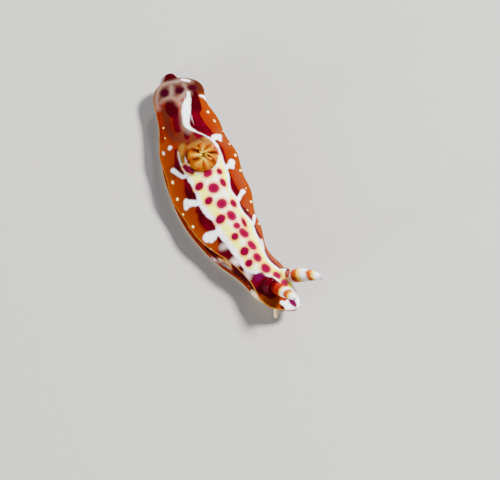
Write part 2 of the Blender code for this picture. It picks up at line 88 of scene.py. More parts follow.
MANTLE_LENGTH = 28.5
BODY_LENGTH = 30.0
MANTLE_HALF_WIDTH = (
    (0.0, 2.3), (0.1, 2.5), (0.205, 1.95), (0.34, 2.95), (0.475, 3.8),
    (0.585, 4.0), (0.67, 3.9), (0.785, 3.35), (0.885, 2.75), (1.0, 3.0),
)
LEFT_DRAWN_IN = ((0.0, 0.5), (1.0, 0.5), (2.2, 0.54), (3.4, 0.7), (4.6, 0.92), (6.0, 1.0))
RIDGE_HEIGHT = (
    (0.0, 2.9), (0.06, 3.4), (0.126, 3.8), (0.243, 4.1), (0.437, 4.5),
    (0.6, 4.5), (0.758, 4.1), (0.894, 3.35), (1.0, 2.6),
)
EDGE_HEIGHT = (
    (0.0, 2.7), (0.1, 2.6), (0.22, 2.5), (0.39, 2.4), (0.58, 2.4), (0.78, 2.4), (1.0, 2.4),
)
print("half-width at the gill, mm:", round(float(curve_at(0.68, MANTLE_HALF_WIDTH)), 2))

# %% [markdown]
# ## The pose
# The animal crawls in a gentle S and leans its front to its left, over a foot that
# stays flat. The midline is summed up step by step from its heading, and the roll
# fades out towards the sole. The tip of the solids' tail tells how far the whole body
# was moved to stand on the origin. Another program's fits to the photograph guided the
# headings, the rolls and the half-widths above. They were then rounded and changed.

# %% From the straight body to the posed one
HEADINGS = (
    (0.0, -6.0), (0.06, 7.0), (0.13, 13.0), (0.25, 8.0), (0.5, -7.0), (0.75, -12.5), (1.0, -13.0),
)
ROLLS = ((0.0, 17.0), (0.16, 9.0), (0.34, 4.0), (0.52, 0.0), (1.0, 0.0))
ROLL_AXIS_HEIGHT = 1.2
ROLL_HEIGHTS = (0.35, 2.6)

spine_s = np.linspace(-0.05, 1.05, 221) * BODY_LENGTH
spine_heading = np.radians(curve_at(spine_s / BODY_LENGTH, HEADINGS))
spine_x = np.cumsum(-np.sin(spine_heading)) * (spine_s[1] - spine_s[0])
spine_y = np.cumsum(np.cos(spine_heading)) * (spine_s[1] - spine_s[0])
spine_x -= spine_x[len(spine_s) // 2]
spine_y -= spine_y[len(spine_s) // 2]


def place(points):
    """Straight-body points (v, s, z) brought into the pose, in millimetres."""
    v, s, z = np.asarray(points, dtype=float).T
    heading = np.interp(s, spine_s, spine_heading)
    roll = np.radians(curve_at(s / BODY_LENGTH, ROLLS)) * ease(z, *ROLL_HEIGHTS)
    rise = z - ROLL_AXIS_HEIGHT
    across = v * np.cos(roll) + rise * np.sin(roll)
    x = np.interp(s, spine_s, spine_x) + across * np.cos(heading)
    y = np.interp(s, spine_s, spine_y) + across * np.sin(heading)
    return np.column_stack([x, y, ROLL_AXIS_HEIGHT + rise * np.cos(roll) - v * np.sin(roll)])


TAIL_TIP = (0.0, BODY_LENGTH, 0.15)
tail_corners = np.array([corner.co[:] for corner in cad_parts["tail"].data.vertices]) / MM
moved = tail_corners[np.argmax(tail_corners[:, 1])] - place([TAIL_TIP])[0]
print("the solids were moved by, mm:", moved.round(3).tolist())

# %% [markdown]
# ## The mantle
# The mantle is one sheet of thick flesh: domed over the back, thin at its free margin,
# which waves a little and turns up on the right of the front. Round the gill it forms
# a pocket with a raised rim. It could be sculpted, but a height for every point is
# easier to keep true to the solids, so its top is a height field. Its lip is a half
# circle and its underside follows the margin's waves.

# %% Width and height of the mantle
FRONT_ROUND = {"left": 2.4, "right": 1.7}
REAR_ROUND = 2.2
SLAB = 0.55
LIP_RADIUS = 0.18
MARGIN_WAVE = 0.10
MARGIN_WAVELENGTH = 4.6
UPTURN = {"at": 7.6, "spread": 1.6, "height": 0.8}

GILL_AT = 18.35
POCKET_RADIUS = 1.45
POCKET_DEPTH = 0.62
RIM_RADIUS = 1.66
RIM_HALF_WIDTH = 0.17
RIM_HEIGHT = 0.27


def half_width(s, side):
    wave = MARGIN_WAVE * np.sin(2 * np.pi * s / MARGIN_WAVELENGTH + 1.3 * side)
    front = np.where(side > 0, FRONT_ROUND["left"], FRONT_ROUND["right"])
    ends = round_end(s, front) * round_end(MANTLE_LENGTH - s, REAR_ROUND)
    drawn_in = np.where(side > 0, curve_at(s, LEFT_DRAWN_IN), 1.0)
    return (curve_at(s / MANTLE_LENGTH, MANTLE_HALF_WIDTH) + wave) * ends * drawn_in


def edge_height(s, side):
    wave = MARGIN_WAVE * np.sin(2 * np.pi * s / (MARGIN_WAVELENGTH * 1.2) - 0.8 * side)
    bump = UPTURN["height"] * np.exp(-(((s - UPTURN["at"]) / UPTURN["spread"]) ** 2))
    return curve_at(s / MANTLE_LENGTH, EDGE_HEIGHT) + wave + np.where(side < 0, bump, 0.0)


def side_of(v):
    return np.where(v >= 0, 1.0, -1.0)


def plain_back(v, s):
    """Height of the back without the pocket."""
    side = side_of(v)
    across = np.minimum(1.0, np.abs(v) / np.maximum(half_width(s, side), 1e-6))
    base = curve_at(s / MANTLE_LENGTH, EDGE_HEIGHT)
    ridge = curve_at(s / MANTLE_LENGTH, RIDGE_HEIGHT)
    lift = (edge_height(s, side) - base) * across**4
    return base + (ridge - base) * (1 - across**2) ** 1.25 + lift


def back_height(v, s):
    """The back with the gill's pocket and its rim, a little crimped as soft skin is."""
    turn = np.arctan2(s - GILL_AT, v)
    radius = np.hypot(v, s - GILL_AT) - 0.04 * np.sin(5 * turn + 1.0)
    crimp = 1 + 0.14 * np.sin(9 * turn) + 0.10 * np.sin(14 * turn + 2.0)
    rim = RIM_HEIGHT * crimp * np.exp(-(((radius - RIM_RADIUS) / RIM_HALF_WIDTH) ** 2))
    pocket = POCKET_DEPTH * ease(radius, POCKET_RADIUS, POCKET_RADIUS - 0.3)
    return plain_back(v, s) + rim - pocket


def under_height(v, s):
    """The mantle's underside, which rises from its floor to the thin margin."""
    side = side_of(v)
    across = np.minimum(1.0, np.abs(v) / np.maximum(half_width(s, side), 1e-6))
    floor = curve_at(s / MANTLE_LENGTH, EDGE_HEIGHT) - SLAB
    margin = edge_height(s, side) - 2 * LIP_RADIUS
    return floor + (margin - floor) * ease(across, 0.55, 0.95)


print("depth of the pocket, mm:", round(float(plain_back(0, GILL_AT) - back_height(0, GILL_AT)), 2))

# %% Rings of points become closed shells
def closed_loft(rings, first_pole, last_pole):
    """Points and triangles of a closed shell through rings of equal length."""
    rings = np.asarray(rings, dtype=float)
    count, sides = rings.shape[:2]
    points = np.vstack([rings.reshape(-1, 3), [first_pole, last_pole]])
    ring, step = np.meshgrid(np.arange(count - 1), np.arange(sides), indexing="ij")
    a = (ring * sides + step).ravel()
    b = (ring * sides + (step + 1) % sides).ravel()
    walls = np.vstack([np.column_stack([a, b, b + sides]), np.column_stack([a, b + sides, a + sides])])
    j = np.arange(sides)
    k = (j + 1) % sides
    last = (count - 1) * sides
    first_fan = np.column_stack([k, j, np.full(sides, len(points) - 2)])
    last_fan = np.column_stack([last + j, last + k, np.full(sides, len(points) - 1)])
    return points, np.vstack([walls, first_fan, last_fan])


def mesh_object(name, shells):
    """One object from several shells, with every face turned outwards."""
    points, faces, start = [], [], 0
    for shell_points, shell_faces in shells:
        points.append(shell_points)
        faces.append(shell_faces + start)
        start += len(shell_points)
    mesh = bpy.data.meshes.new(name)
    mesh.from_pydata(np.vstack(points).tolist(), [], np.vstack(faces).tolist())
    body = bmesh.new()
    body.from_mesh(mesh)
    bmesh.ops.recalc_face_normals(body, faces=body.faces)
    body.to_mesh(mesh)
    body.free()
    made = bpy.data.objects.new(name, mesh)
    bpy.context.scene.collection.objects.link(made)
    return made


def mantle_shell(rings=360, top_points=151, lip_points=9, under_points=41):
    turn = np.linspace(0, np.pi, rings + 2)[1:-1]
    s = MANTLE_LENGTH * (1 - np.cos(turn)) / 2
    s = 0.35 * s + 0.65 * np.linspace(s[0], s[-1], rings)
    loop = []
    for side, reverse in ((1.0, False), (-1.0, True)):
        width = half_width(s, side)
        radius = np.minimum(LIP_RADIUS, 0.5 * width)
        shares = np.sin(np.linspace(0, np.pi / 2, top_points // 2 + 1))
        across = [side * share * (width - radius) for share in shares]
        top = [(v, back_height(v, s)) for v in across]
        rim_v, rim_z = top[-1]
        angles = np.linspace(0, np.pi, lip_points + 2)[1:-1]
        lip = [(rim_v + side * radius * np.sin(t), rim_z - radius * (1 - np.cos(t))) for t in angles]
        shares = np.linspace(1, 0, under_points // 2 + 1)
        under = [(rim_v * share, under_height(rim_v * share, s)) for share in shares]
        half = top + lip + under
        loop.append(half[::-1] if reverse else half)
    ring = loop[0] + loop[1][1:-1]
    middle = edge_height(s, 0.0) - LIP_RADIUS
    thick = round_end(s, 0.3) * round_end(MANTLE_LENGTH - s, 0.3)
    lines = np.array([np.column_stack([v, s, middle + (z - middle) * thick]) for v, z in ring])
    ends = [(0.0, end, float(edge_height(end, 0.0)) - LIP_RADIUS) for end in (0.0, MANTLE_LENGTH)]
    return closed_loft(lines.transpose(1, 0, 2), *ends)


mantle = mantle_shell()
print("mantle shell:", len(mantle[0]), "points")

# %% [markdown]
# ## Foot, flanks and tail
# Under the mantle the body is a low wall that stands on a flat foot. A groove parts the
# two, and behind, both run out into a keeled tail. The cross-section changes on the way,
# so each ring blends from the flank's section to the tail's, point by point.

# %% The body below the mantle
FOOT_START = 2.7
TAIL_START = 24.2
FOOT_SHARES = ((0.0, 0.62), (0.1, 0.66), (0.2, 0.86), (0.3, 0.94), (1.0, 0.94))
TRUNK_SHARE = 0.78
FOOT_EDGE = 0.5
TAIL_HALF_WIDTH = ((0.0, 2.6), (0.3, 2.3), (0.6, 1.7), (0.85, 0.9), (1.0, 0.35))
TAIL_RIDGE = ((0.0, 1.5), (0.35, 1.4), (0.7, 1.05), (1.0, 0.55))


def foot_half_width(s):
    share = s / MANTLE_LENGTH
    width = curve_at(share, FOOT_SHARES) * curve_at(share, MANTLE_HALF_WIDTH)
    return width * (0.55 + 0.45 * round_end(s - FOOT_START, 1.5))


def body_section(s):
    """Half of a cross-section, from the middle of the sole round to the top."""
    width = float(foot_half_width(s))
    wall = TRUNK_SHARE * float(half_width(min(s, 25.0), 1.0) + half_width(min(s, 25.0), -1.0)) / 2
    wall = wall * float(round_end(s - FOOT_START + 0.75, 1.3))
    top = float(curve_at(s / MANTLE_LENGTH, EDGE_HEIGHT)) - 0.2
    inner = min(width * 0.8, wall * 1.02)
    flank = [(0.0, 0.0), (width * 0.5, 0.0), (width - 0.16, 0.0), (width - 0.03, 0.09)]
    flank += [(width, 0.2), (width - 0.06, 0.34), (width - 0.2, 0.45), ((width + inner) / 2, 0.58)]
    flank += [(inner, 0.72)]
    for share in (0.15, 0.4, 0.65, 0.85, 1.0):
        waist = 1 - 0.1 * math.sin(math.pi * share)
        flank.append((wall * waist, 0.8 + (top - 0.8) * share))
    flank += [(wall * 0.5, top), (0.0, top)]
    share = min(1.0, max(0.0, (s - TAIL_START) / (BODY_LENGTH - TAIL_START)))
    width = float(curve_at(share, TAIL_HALF_WIDTH))
    ridge = float(curve_at(share, TAIL_RIDGE))
    edge = min(FOOT_EDGE, width)
    tail = [(0.0, 0.0), (width * 0.5, 0.0), (width - 0.3 * edge, 0.0)]
    tail += [(width - 0.08 * edge, edge * 0.2), (width, edge * 0.45)]
    tail += [(width * 0.985, edge * 0.7), (width * 0.95, edge * 0.88)]
    for across in (0.88, 0.78, 0.68, 0.56, 0.44, 0.32, 0.2, 0.1, 0.0):
        tail.append((width * across, edge + (ridge - edge) * (1 - across**1.5)))
    blend = float(ease(s, TAIL_START - 1.4, TAIL_START + 1.3))
    return (1 - blend) * np.array(flank) + blend * np.array(tail)


def body_shell(count=240):
    turn = np.linspace(0, 1, count)
    rings = []
    for s in FOOT_START + (BODY_LENGTH - 0.1 - FOOT_START) * turn**1.15:
        half = body_section(s)
        ring = np.vstack([half, half[-2:0:-1] * (-1, 1)])
        rings.append(np.column_stack([ring[:, 0], np.full(len(ring), s), ring[:, 1]]))
    return closed_loft(rings, (0.0, FOOT_START - 0.05, 0.9), TAIL_TIP)


below = body_shell()
print("body shell:", len(below[0]), "points")

# %% [markdown]
# ## Head, mouth, oral tentacles and sheaths
# The head is a blunt snout under the mantle's front: a slit of a mouth between two soft
# lips, and a stubby oral tentacle on each side. On the back, a low collar with a hollow
# top, the sheath, stands round the root of each rhinophore. The head and lips are
# balls, and the tentacles and sheaths are turned on an axis, so all of them are stacks
# of rings. How far each rhinophore leans and splays came from another program's search.

# %% Turned parts of the head
HEAD_BACK = FOOT_START - 0.3
HEAD_REACH = 1.35
HEAD_HALF_WIDTH = 1.15
HEAD_HALF_HEIGHT = 0.68
HEAD_HEIGHT = 1.08
HEAD_SUNK = 0.5
MOUTH_LIP_ASIDE = 0.27
MOUTH_LIP_BACK = 0.14
MOUTH_LIP_DROP = 0.2
MOUTH_LIP_RADII = (0.23, 0.26, 0.38)
TENTACLE_LENGTH = 0.9
TENTACLE_SUNK = 0.42
TENTACLE_RADIUS = 0.30
TENTACLE_WAY = (0.50, -0.84, -0.22)
TENTACLE_STATIONS = (
    (-0.25, 0.9), (0.0, 1.12), (0.2, 1.0), (0.45, 0.94), (0.65, 0.84), (0.8, 0.72), (0.9, 0.56),
    (0.96, 0.36), (0.99, 0.15),
)
RHINOPHORE_AT = 3.2
RHINOPHORE_ASIDE = 1.0
LEFT_LEAN_AND_SPLAY = (math.radians(36.0), math.radians(18.0))
RIGHT_LEAN_AND_SPLAY = (math.radians(52.0), math.radians(8.0))
RHINOPHORE_LENGTH = 3.5
RHINOPHORE_RADIUS = 0.66
SHEATH_HEIGHT = 0.45
SHEATH_CRIMP = 0.02
SHEATH_STATIONS = (
    (-0.9, 0.55), (-0.5, 0.8), (-0.1, 0.95), (0.15, 0.88), (0.32, 0.83), (0.41, 0.80), (0.45, 0.74),
    (0.42, 0.67), (0.3, 0.62), (0.1, 0.6), (-0.1, 0.55), (-0.15, 0.3),
)


def turned(root, along, forward, aside, stations, sides=40, crimp=0.0):
    """A closed shell of revolution: stations are (distance along, radius)."""
    turn = np.linspace(0, 2 * np.pi, sides, endpoint=False)
    spoke = np.cos(turn)[:, None] * forward + np.sin(turn)[:, None] * aside
    wave = 1 + crimp * np.sin(7 * turn)[:, None]
    rings = [root + along * height + spoke * radius * wave for height, radius in stations]
    return closed_loft(rings, root + along * stations[0][0], root + along * stations[-1][0])


def rhinophore_axes(side):
    root = np.array([side * RHINOPHORE_ASIDE, RHINOPHORE_AT, 0.0])
    root[2] = plain_back(root[0], root[1])
    lean, splay = LEFT_LEAN_AND_SPLAY if side > 0 else RIGHT_LEAN_AND_SPLAY
    back_part = -math.sin(lean) * math.cos(splay)
    tip = np.array([side * math.sin(splay), back_part, math.cos(lean) * math.cos(splay)])
    aside = np.cross(tip, (0.0, -1.0, 0.0))
    aside /= np.linalg.norm(aside)
    return root, tip, np.cross(aside, tip), aside


def ball(centre, radii, count=24, sides=40):
    turn = np.linspace(0, np.pi, count + 2)[1:-1]
    angle = np.linspace(0, 2 * np.pi, sides, endpoint=False)
    rings = []
    for t in turn:
        s_line = np.full(sides, -np.cos(t))
        ring = np.column_stack([np.sin(t) * np.cos(angle), s_line, np.sin(t) * np.sin(angle)])
        rings.append(np.array(centre) + ring * radii)
    poles = [np.array(centre) + np.array((0.0, end, 0.0)) * radii for end in (-1.0, 1.0)]
    return closed_loft(rings, *poles)


print("left rhinophore's way:", rhinophore_axes(1.0)[1].round(2).tolist())

# %% Head, lips, tentacles and sheaths
head_centre = (0.0, HEAD_BACK + HEAD_SUNK, HEAD_HEIGHT)
head_parts = [ball(head_centre, (HEAD_HALF_WIDTH, HEAD_REACH + HEAD_SUNK, HEAD_HALF_HEIGHT))]
lip_s, lip_z = HEAD_BACK - HEAD_REACH + MOUTH_LIP_BACK, HEAD_HEIGHT - MOUTH_LIP_DROP
reach = TENTACLE_LENGTH + TENTACLE_SUNK
tentacle = [(reach * along, TENTACLE_RADIUS * radius) for along, radius in TENTACLE_STATIONS]
for side in (1.0, -1.0):
    head_parts.append(ball((side * MOUTH_LIP_ASIDE, lip_s, lip_z), MOUTH_LIP_RADII))
    out = np.array([side * TENTACLE_WAY[0], *TENTACLE_WAY[1:]])
    out /= np.linalg.norm(out)
    start = np.array([side * HEAD_HALF_WIDTH * 0.72, HEAD_BACK - HEAD_REACH * 0.56, HEAD_HEIGHT])
    aside = np.cross(out, (0.0, 0.0, 1.0))
    aside /= np.linalg.norm(aside)
    head_parts.append(turned(start, out, np.cross(aside, out), aside, tentacle))
    head_parts.append(turned(*rhinophore_axes(side), SHEATH_STATIONS, crimp=SHEATH_CRIMP))
print("parts of the head:", len(head_parts))

# %% [markdown]
# ## One skin
# Flesh has no seams, so all these shells become one surface. A Boolean union would
# leave hard creases; a voxel remesh fuses overlapping shells and rounds their meeting
# lines as skin does. A few passes of smoothing take away its fine steps, and the sole
# is pressed flat again.

# %% Fuse and smooth the shells
VOXEL = 0.088
SMOOTHING_PASSES = 4
SOLE_BELOW = 0.05


def fused(name, shells, voxel):
    made = mesh_object(name, shells)
    remesh = made.modifiers.new("fuse", "REMESH")
    remesh.mode = "VOXEL"
    remesh.voxel_size = voxel
    graph = bpy.context.evaluated_depsgraph_get()
    mesh = bpy.data.meshes.new_from_object(made.evaluated_get(graph))
    made.modifiers.clear()
    made.data = mesh
    return made


def points_of(mesh):
    values = np.empty(len(mesh.vertices) * 3)
    mesh.vertices.foreach_get("co", values)
    return values.reshape(-1, 3)


def relaxed(mesh, points, passes, weight=0.5):
    """Moves every point towards the mean of its neighbours, then part of the way back."""
    ends = np.empty(len(mesh.edges) * 2, dtype=int)
    mesh.edges.foreach_get("vertices", ends)
    a, b = ends.reshape(-1, 2).T
    count = np.bincount(np.concatenate([a, b]), minlength=len(points))[:, None]
    for number in range(passes * 2):
        total = np.zeros_like(points)
        for axis in range(3):
            total[:, axis] = np.bincount(a, points[b, axis], len(points))
            total[:, axis] += np.bincount(b, points[a, axis], len(points))
        step = weight if number % 2 == 0 else -0.9 * weight
        points = points + step * (total / count - points)
    return points


skin = fused("skin", [mantle, below] + head_parts, VOXEL)
straight = relaxed(skin.data, points_of(skin.data), SMOOTHING_PASSES)
sole = straight[:, 2] < SOLE_BELOW
straight[sole, 2] = 0.0
print("skin:", len(skin.data.vertices), "points", len(skin.data.polygons), "faces")

# %% [markdown]
# ## Marks as distances
# On the real skin the marks are pigment under a clear surface, with edges that are
# crisp but a little ragged. An image could hold them, but it would blur and would need
# an unwrap. Here every point of the skin learns how far it lies from each kind of
# mark, in millimetres, and the material draws the edge at distance nought. A mark is a
# stroke through a few places (v, s, half-width) or a spot (v, s, half-length across,
# half-length along, turn). The places weren't all set by hand: they were picked by eye
# on the photograph, another program turned those pixels into (v, s), and its numbers
# were copied here. Many were moved afterwards, and the half-widths are given one by
# one.

# %% Distances to strokes and spots
def smooth_stroke(stations, parts=6):
    """A finer stroke through the stations, each taken as a point with its half-width."""
    stations = np.array(stations, dtype=float)
    length = np.concatenate([[0], np.cumsum(np.linalg.norm(np.diff(stations[:, :2], axis=0), axis=1))])
    fine = np.interp(np.arange((len(stations) - 1) * parts + 1) / parts, np.arange(len(stations)), length)
    columns = [curve_at(fine, list(zip(length, stations[:, k]))) for k in range(stations.shape[1])]
    return np.column_stack(columns)


FAR = 9.0


def stroke_distance(v, s, strokes):
    """Distance outside the nearest stroke, negative inside it."""
    best = np.full(len(v), FAR)
    for stations in strokes:
        stroke = smooth_stroke(stations)
        for (v0, s0, w0), (v1, s1, w1) in zip(stroke, stroke[1:]):
            run = max(1e-9, (v1 - v0) ** 2 + (s1 - s0) ** 2)
            t = np.clip(((v - v0) * (v1 - v0) + (s - s0) * (s1 - s0)) / run, 0, 1)
            reach = np.hypot(v - v0 - t * (v1 - v0), s - s0 - t * (s1 - s0)) - (w0 + t * (w1 - w0))
            best = np.minimum(best, reach)
    return best


def spot_distance(v, s, spots):
    """Distance outside the nearest spot, negative inside it."""
    best = np.full(len(v), FAR)
    for at_v, at_s, across, along, turn in spots:
        c, d = math.cos(math.radians(turn)), math.sin(math.radians(turn))
        p, q = (v - at_v) * c + (s - at_s) * d, (s - at_s) * c - (v - at_v) * d
        best = np.minimum(best, (np.hypot(p / across, q / along) - 1) * min(across, along))
    return best


inside = spot_distance(np.zeros(1), np.zeros(1), [(0, 0, 1, 1, 0)])
print("distance at the middle of a round spot, mm:", inside.tolist())

# %% Spots on the back
CENTRAL_SPOTS = (
    (-0.04, 16.60, 0.42, 0.31, 15), (-0.03, 14.92, 0.52, 0.50, 0), (0.00, 13.05, 0.52, 0.46, 25),
    (0.23, 11.47, 0.41, 0.50, 0), (0.14, 10.26, 0.31, 0.31, 0), (0.34, 9.25, 0.40, 0.52, 8),
    (0.23, 7.71, 0.34, 0.50, 0), (-0.15, 6.35, 0.33, 0.44, -5), (-0.25, 4.94, 0.36, 0.46, 0),
    (0.08, 3.68, 0.31, 0.38, 0), (0.15, 2.62, 0.30, 0.34, 0),
)
SIDE_SPOTS = (
    (1.23, 16.53, 0.25, 0.29, 0), (1.13, 15.23, 0.27, 0.42, 0), (1.15, 12.66, 0.28, 0.40, -10),
    (1.05, 10.29, 0.20, 0.46, -12), (-1.29, 15.67, 0.42, 0.34, 20), (-1.03, 13.90, 0.38, 0.32, 25),
    (-0.91, 11.66, 0.48, 0.38, 20), (-0.65, 9.41, 0.32, 0.31, 0), (-0.73, 7.65, 0.38, 0.38, 0),
    (-1.08, 6.46, 0.31, 0.30, 0), (-1.01, 17.44, 0.16, 0.12, 20),
)
CRIMSON_STROKES = (
    ((-1.93, 18.25, 0.14), (-1.70, 17.75, 0.20), (-1.42, 17.28, 0.14)),
    ((1.62, 19.41, 0.06), (1.73, 18.91, 0.10), (1.70, 18.49, 0.06)),
)
print("spots along the back:", len(CENTRAL_SPOTS), "and beside them:", len(SIDE_SPOTS))

# %% The white network
LEFT_LINE = (
    (0.93, 26.3, 0.12), (0.71, 25.54, 0.22), (0.37, 24.99, 0.36), (0.08, 24.21, 0.42),
    (-0.21, 23.31, 0.32), (-0.35, 22.66, 0.27), (-0.22, 22.12, 0.18), (0.29, 21.54, 0.06),
    (0.97, 20.98, 0.03), (1.54, 20.45, 0.07), (1.95, 19.80, 0.11), (2.05, 19.02, 0.08),
    (2.02, 18.28, 0.09), (1.96, 17.57, 0.14), (2.00, 16.90, 0.13), (2.05, 16.38, 0.12),
    (1.88, 15.67, 0.12), (1.65, 14.96, 0.12), (1.51, 14.24, 0.13), (1.63, 13.48, 0.14),
    (1.67, 12.61, 0.14), (1.59, 12.01, 0.12), (1.61, 11.38, 0.12), (1.82, 10.84, 0.13),
    (1.94, 10.18, 0.14), (1.79, 9.55, 0.12), (1.57, 8.96, 0.11), (1.50, 8.0, 0.12), (1.18, 7.06, 0.14),
    (0.75, 6.21, 0.15), (0.55, 5.33, 0.15), (0.70, 4.37, 0.15), (1.05, 3.61, 0.16), (1.42, 3.0, 0.16),
    (1.19, 2.02, 0.16), (0.85, 1.22, 0.18), (0.35, 0.4, 0.16),
)
RIGHT_LINE = (
    (-2.03, 20.23, -0.06), (-2.12, 19.46, 0.0), (-2.17, 18.80, 0.03), (-2.11, 18.19, 0.06),
    (-2.01, 17.56, 0.10), (-1.90, 16.79, 0.14), (-1.80, 15.99, 0.12), (-1.72, 15.2, 0.12),
    (-1.78, 14.61, 0.15), (-1.78, 13.98, 0.20), (-1.70, 13.26, 0.25), (-1.60, 12.61, 0.25),
    (-1.43, 12.01, 0.18), (-1.38, 11.37, 0.20), (-1.45, 10.86, 0.29), (-1.50, 10.48, 0.28),
    (-1.40, 9.25, 0.26), (-1.35, 8.27, 0.30), (-1.38, 7.42, 0.28), (-1.50, 6.72, 0.20),
    (-1.42, 5.83, 0.14), (-1.15, 5.4, 0.12), (-0.78, 4.92, 0.10), (-0.50, 3.9, 0.10),
    (-0.45, 2.8, 0.10), (-0.16, 1.93, 0.10), (0.10, 1.25, 0.10), (-0.50, 1.0, 0.12), (-1.2, 0.9, 0.12),
)
LEFT_LOBES = (
    ((1.7, 20.3, 0.15), (2.1, 20.62, 0.28), (2.5, 20.69, 0.34)),
    ((2.81, 20.91, 0.15), (2.62, 20.32, 0.15)),
    ((1.98, 16.9, 0.28), (2.45, 17.1, 0.20), (3.0, 17.5, 0.30)),
    ((2.82, 17.03, 0.24), (3.12, 17.66, 0.22)),
    ((1.62, 12.9, 0.28), (1.9, 13.05, 0.20), (2.52, 13.56, 0.15), (2.97, 13.94, 0.20)),
    ((1.87, 9.95, 0.22), (2.23, 10.12, 0.14), (2.61, 10.55, 0.12), (3.0, 10.95, 0.15)),
    ((1.15, 6.9, 0.16), (1.6, 7.3, 0.10), (1.92, 7.95, 0.12)),
)
RIGHT_LOBES = (
    ((-1.98, 17.3, 0.20), (-2.32, 17.3, 0.14), (-2.62, 17.67, 0.14), (-2.85, 18.12, 0.17),
     (-3.07, 18.5, 0.19)),
    ((-1.75, 14.2, 0.36), (-2.14, 14.3, 0.25), (-2.59, 14.56, 0.27), (-2.9, 14.68, 0.34)),
    ((-3.15, 14.45, 0.18), (-2.95, 15.0, 0.18)),
    ((-1.5, 10.7, 0.36), (-1.96, 10.75, 0.28), (-2.33, 10.85, 0.33), (-2.7, 10.95, 0.38)),
    ((-2.5, 10.55, 0.24), (-2.2, 10.5, 0.16)),
)
BALLS = ((-2.63, 20.82, 0.16, 0.18, 0), (-3.35, 20.62, 0.05, 0.09, 0))
INNER_LINES = (
    ((-1.62, 19.07, -0.04), (-1.66, 18.63, 0.03), (-1.52, 18.09, 0.06), (-1.26, 17.62, 0.10),
     (-0.98, 17.2, 0.10)),
    ((-0.98, 17.2, 0.10), (-0.6, 17.05, 0.12)),
    ((1.2, 17.5, 0.18), (1.0, 16.98, 0.24), (0.87, 16.3, 0.18)),
    ((0.75, 28.05, 0.08), (1.21, 27.85, 0.14), (1.45, 27.75, 0.08)),
    ((2.08, 25.87, 0.06), (2.48, 25.69, 0.13), (2.74, 25.2, 0.10)),
    ((-1.25, 1.15, 0.16), (-0.95, 0.63, 0.22), (-0.6, 0.3, 0.20)),
    ((-0.6, 0.3, 0.2), (0.1, 0.2, 0.16)),
)
BAND_FROM_LEFT, BAND_FROM_RIGHT = 10, 2
BAND_REAR_END = 18.25


def line_at(s, stroke):
    """How far across a long stroke lies at s."""
    stroke = np.array(sorted(stroke, key=lambda station: station[1]))
    return curve_at(s, list(zip(stroke[:, 1], stroke[:, 0])))


def band_distance(v, s):
    """Distance outside the white band between the two long lines, up to the gill."""
    left, right = line_at(s, LEFT_LINE[BAND_FROM_LEFT:]), line_at(s, RIGHT_LINE[BAND_FROM_RIGHT:])
    to_gill = np.maximum(POCKET_RADIUS - np.hypot(v, s - GILL_AT), s - BAND_REAR_END)
    return np.maximum(np.maximum(v - left, right - v), to_gill)


print("lobes:", len(LEFT_LOBES) + len(RIGHT_LOBES), "on the two lines")

# %% [markdown]
# ## Maroon crescents, yellow strips and small marks
# Outside each long line the orange darkens to maroon. The crescents start thin behind
# one lobe and widen towards the next, so their reach is another profile along the
# body. Inside the lines run two pale yellow strips, brown haze lies behind the gill,
# and cream dots follow the margin.

# %% How far the maroon reaches beside the lines
MAROON_REACH_LEFT = (
    (0.0, 0.2), (3.5, 0.4), (5.2, 0.7), (6.9, 0.55), (7.9, 0.7), (8.6, 0.75), (9.9, 0.45), (10.6, 0.7),
    (11.5, 0.9), (12.6, 0.4), (13.2, 0.4), (13.9, 1.1), (14.6, 1.0), (16.4, 0.35), (17.3, 0.4),
    (18.0, 0.6), (19.4, 0.55), (20.2, 0.3), (20.9, 0.5), (21.8, 0.8), (23.2, 0.3), (27.5, 0.2),
)
MAROON_REACH_RIGHT = (
    (0.0, 0.3), (4.0, 1.2), (5.4, 1.6), (7.0, 1.2), (8.6, 1.4), (10.3, 0.7), (10.9, 0.8), (11.7, 1.45),
    (12.6, 1.3), (13.4, 0.85), (14.3, 0.5), (14.9, 1.3), (15.9, 1.15), (17.2, 0.55), (18.2, 0.9),
    (19.4, 0.5), (20.5, 0.1), (27.5, 0.0),
)
print("stations of the maroon's reach:", len(MAROON_REACH_LEFT) + len(MAROON_REACH_RIGHT))

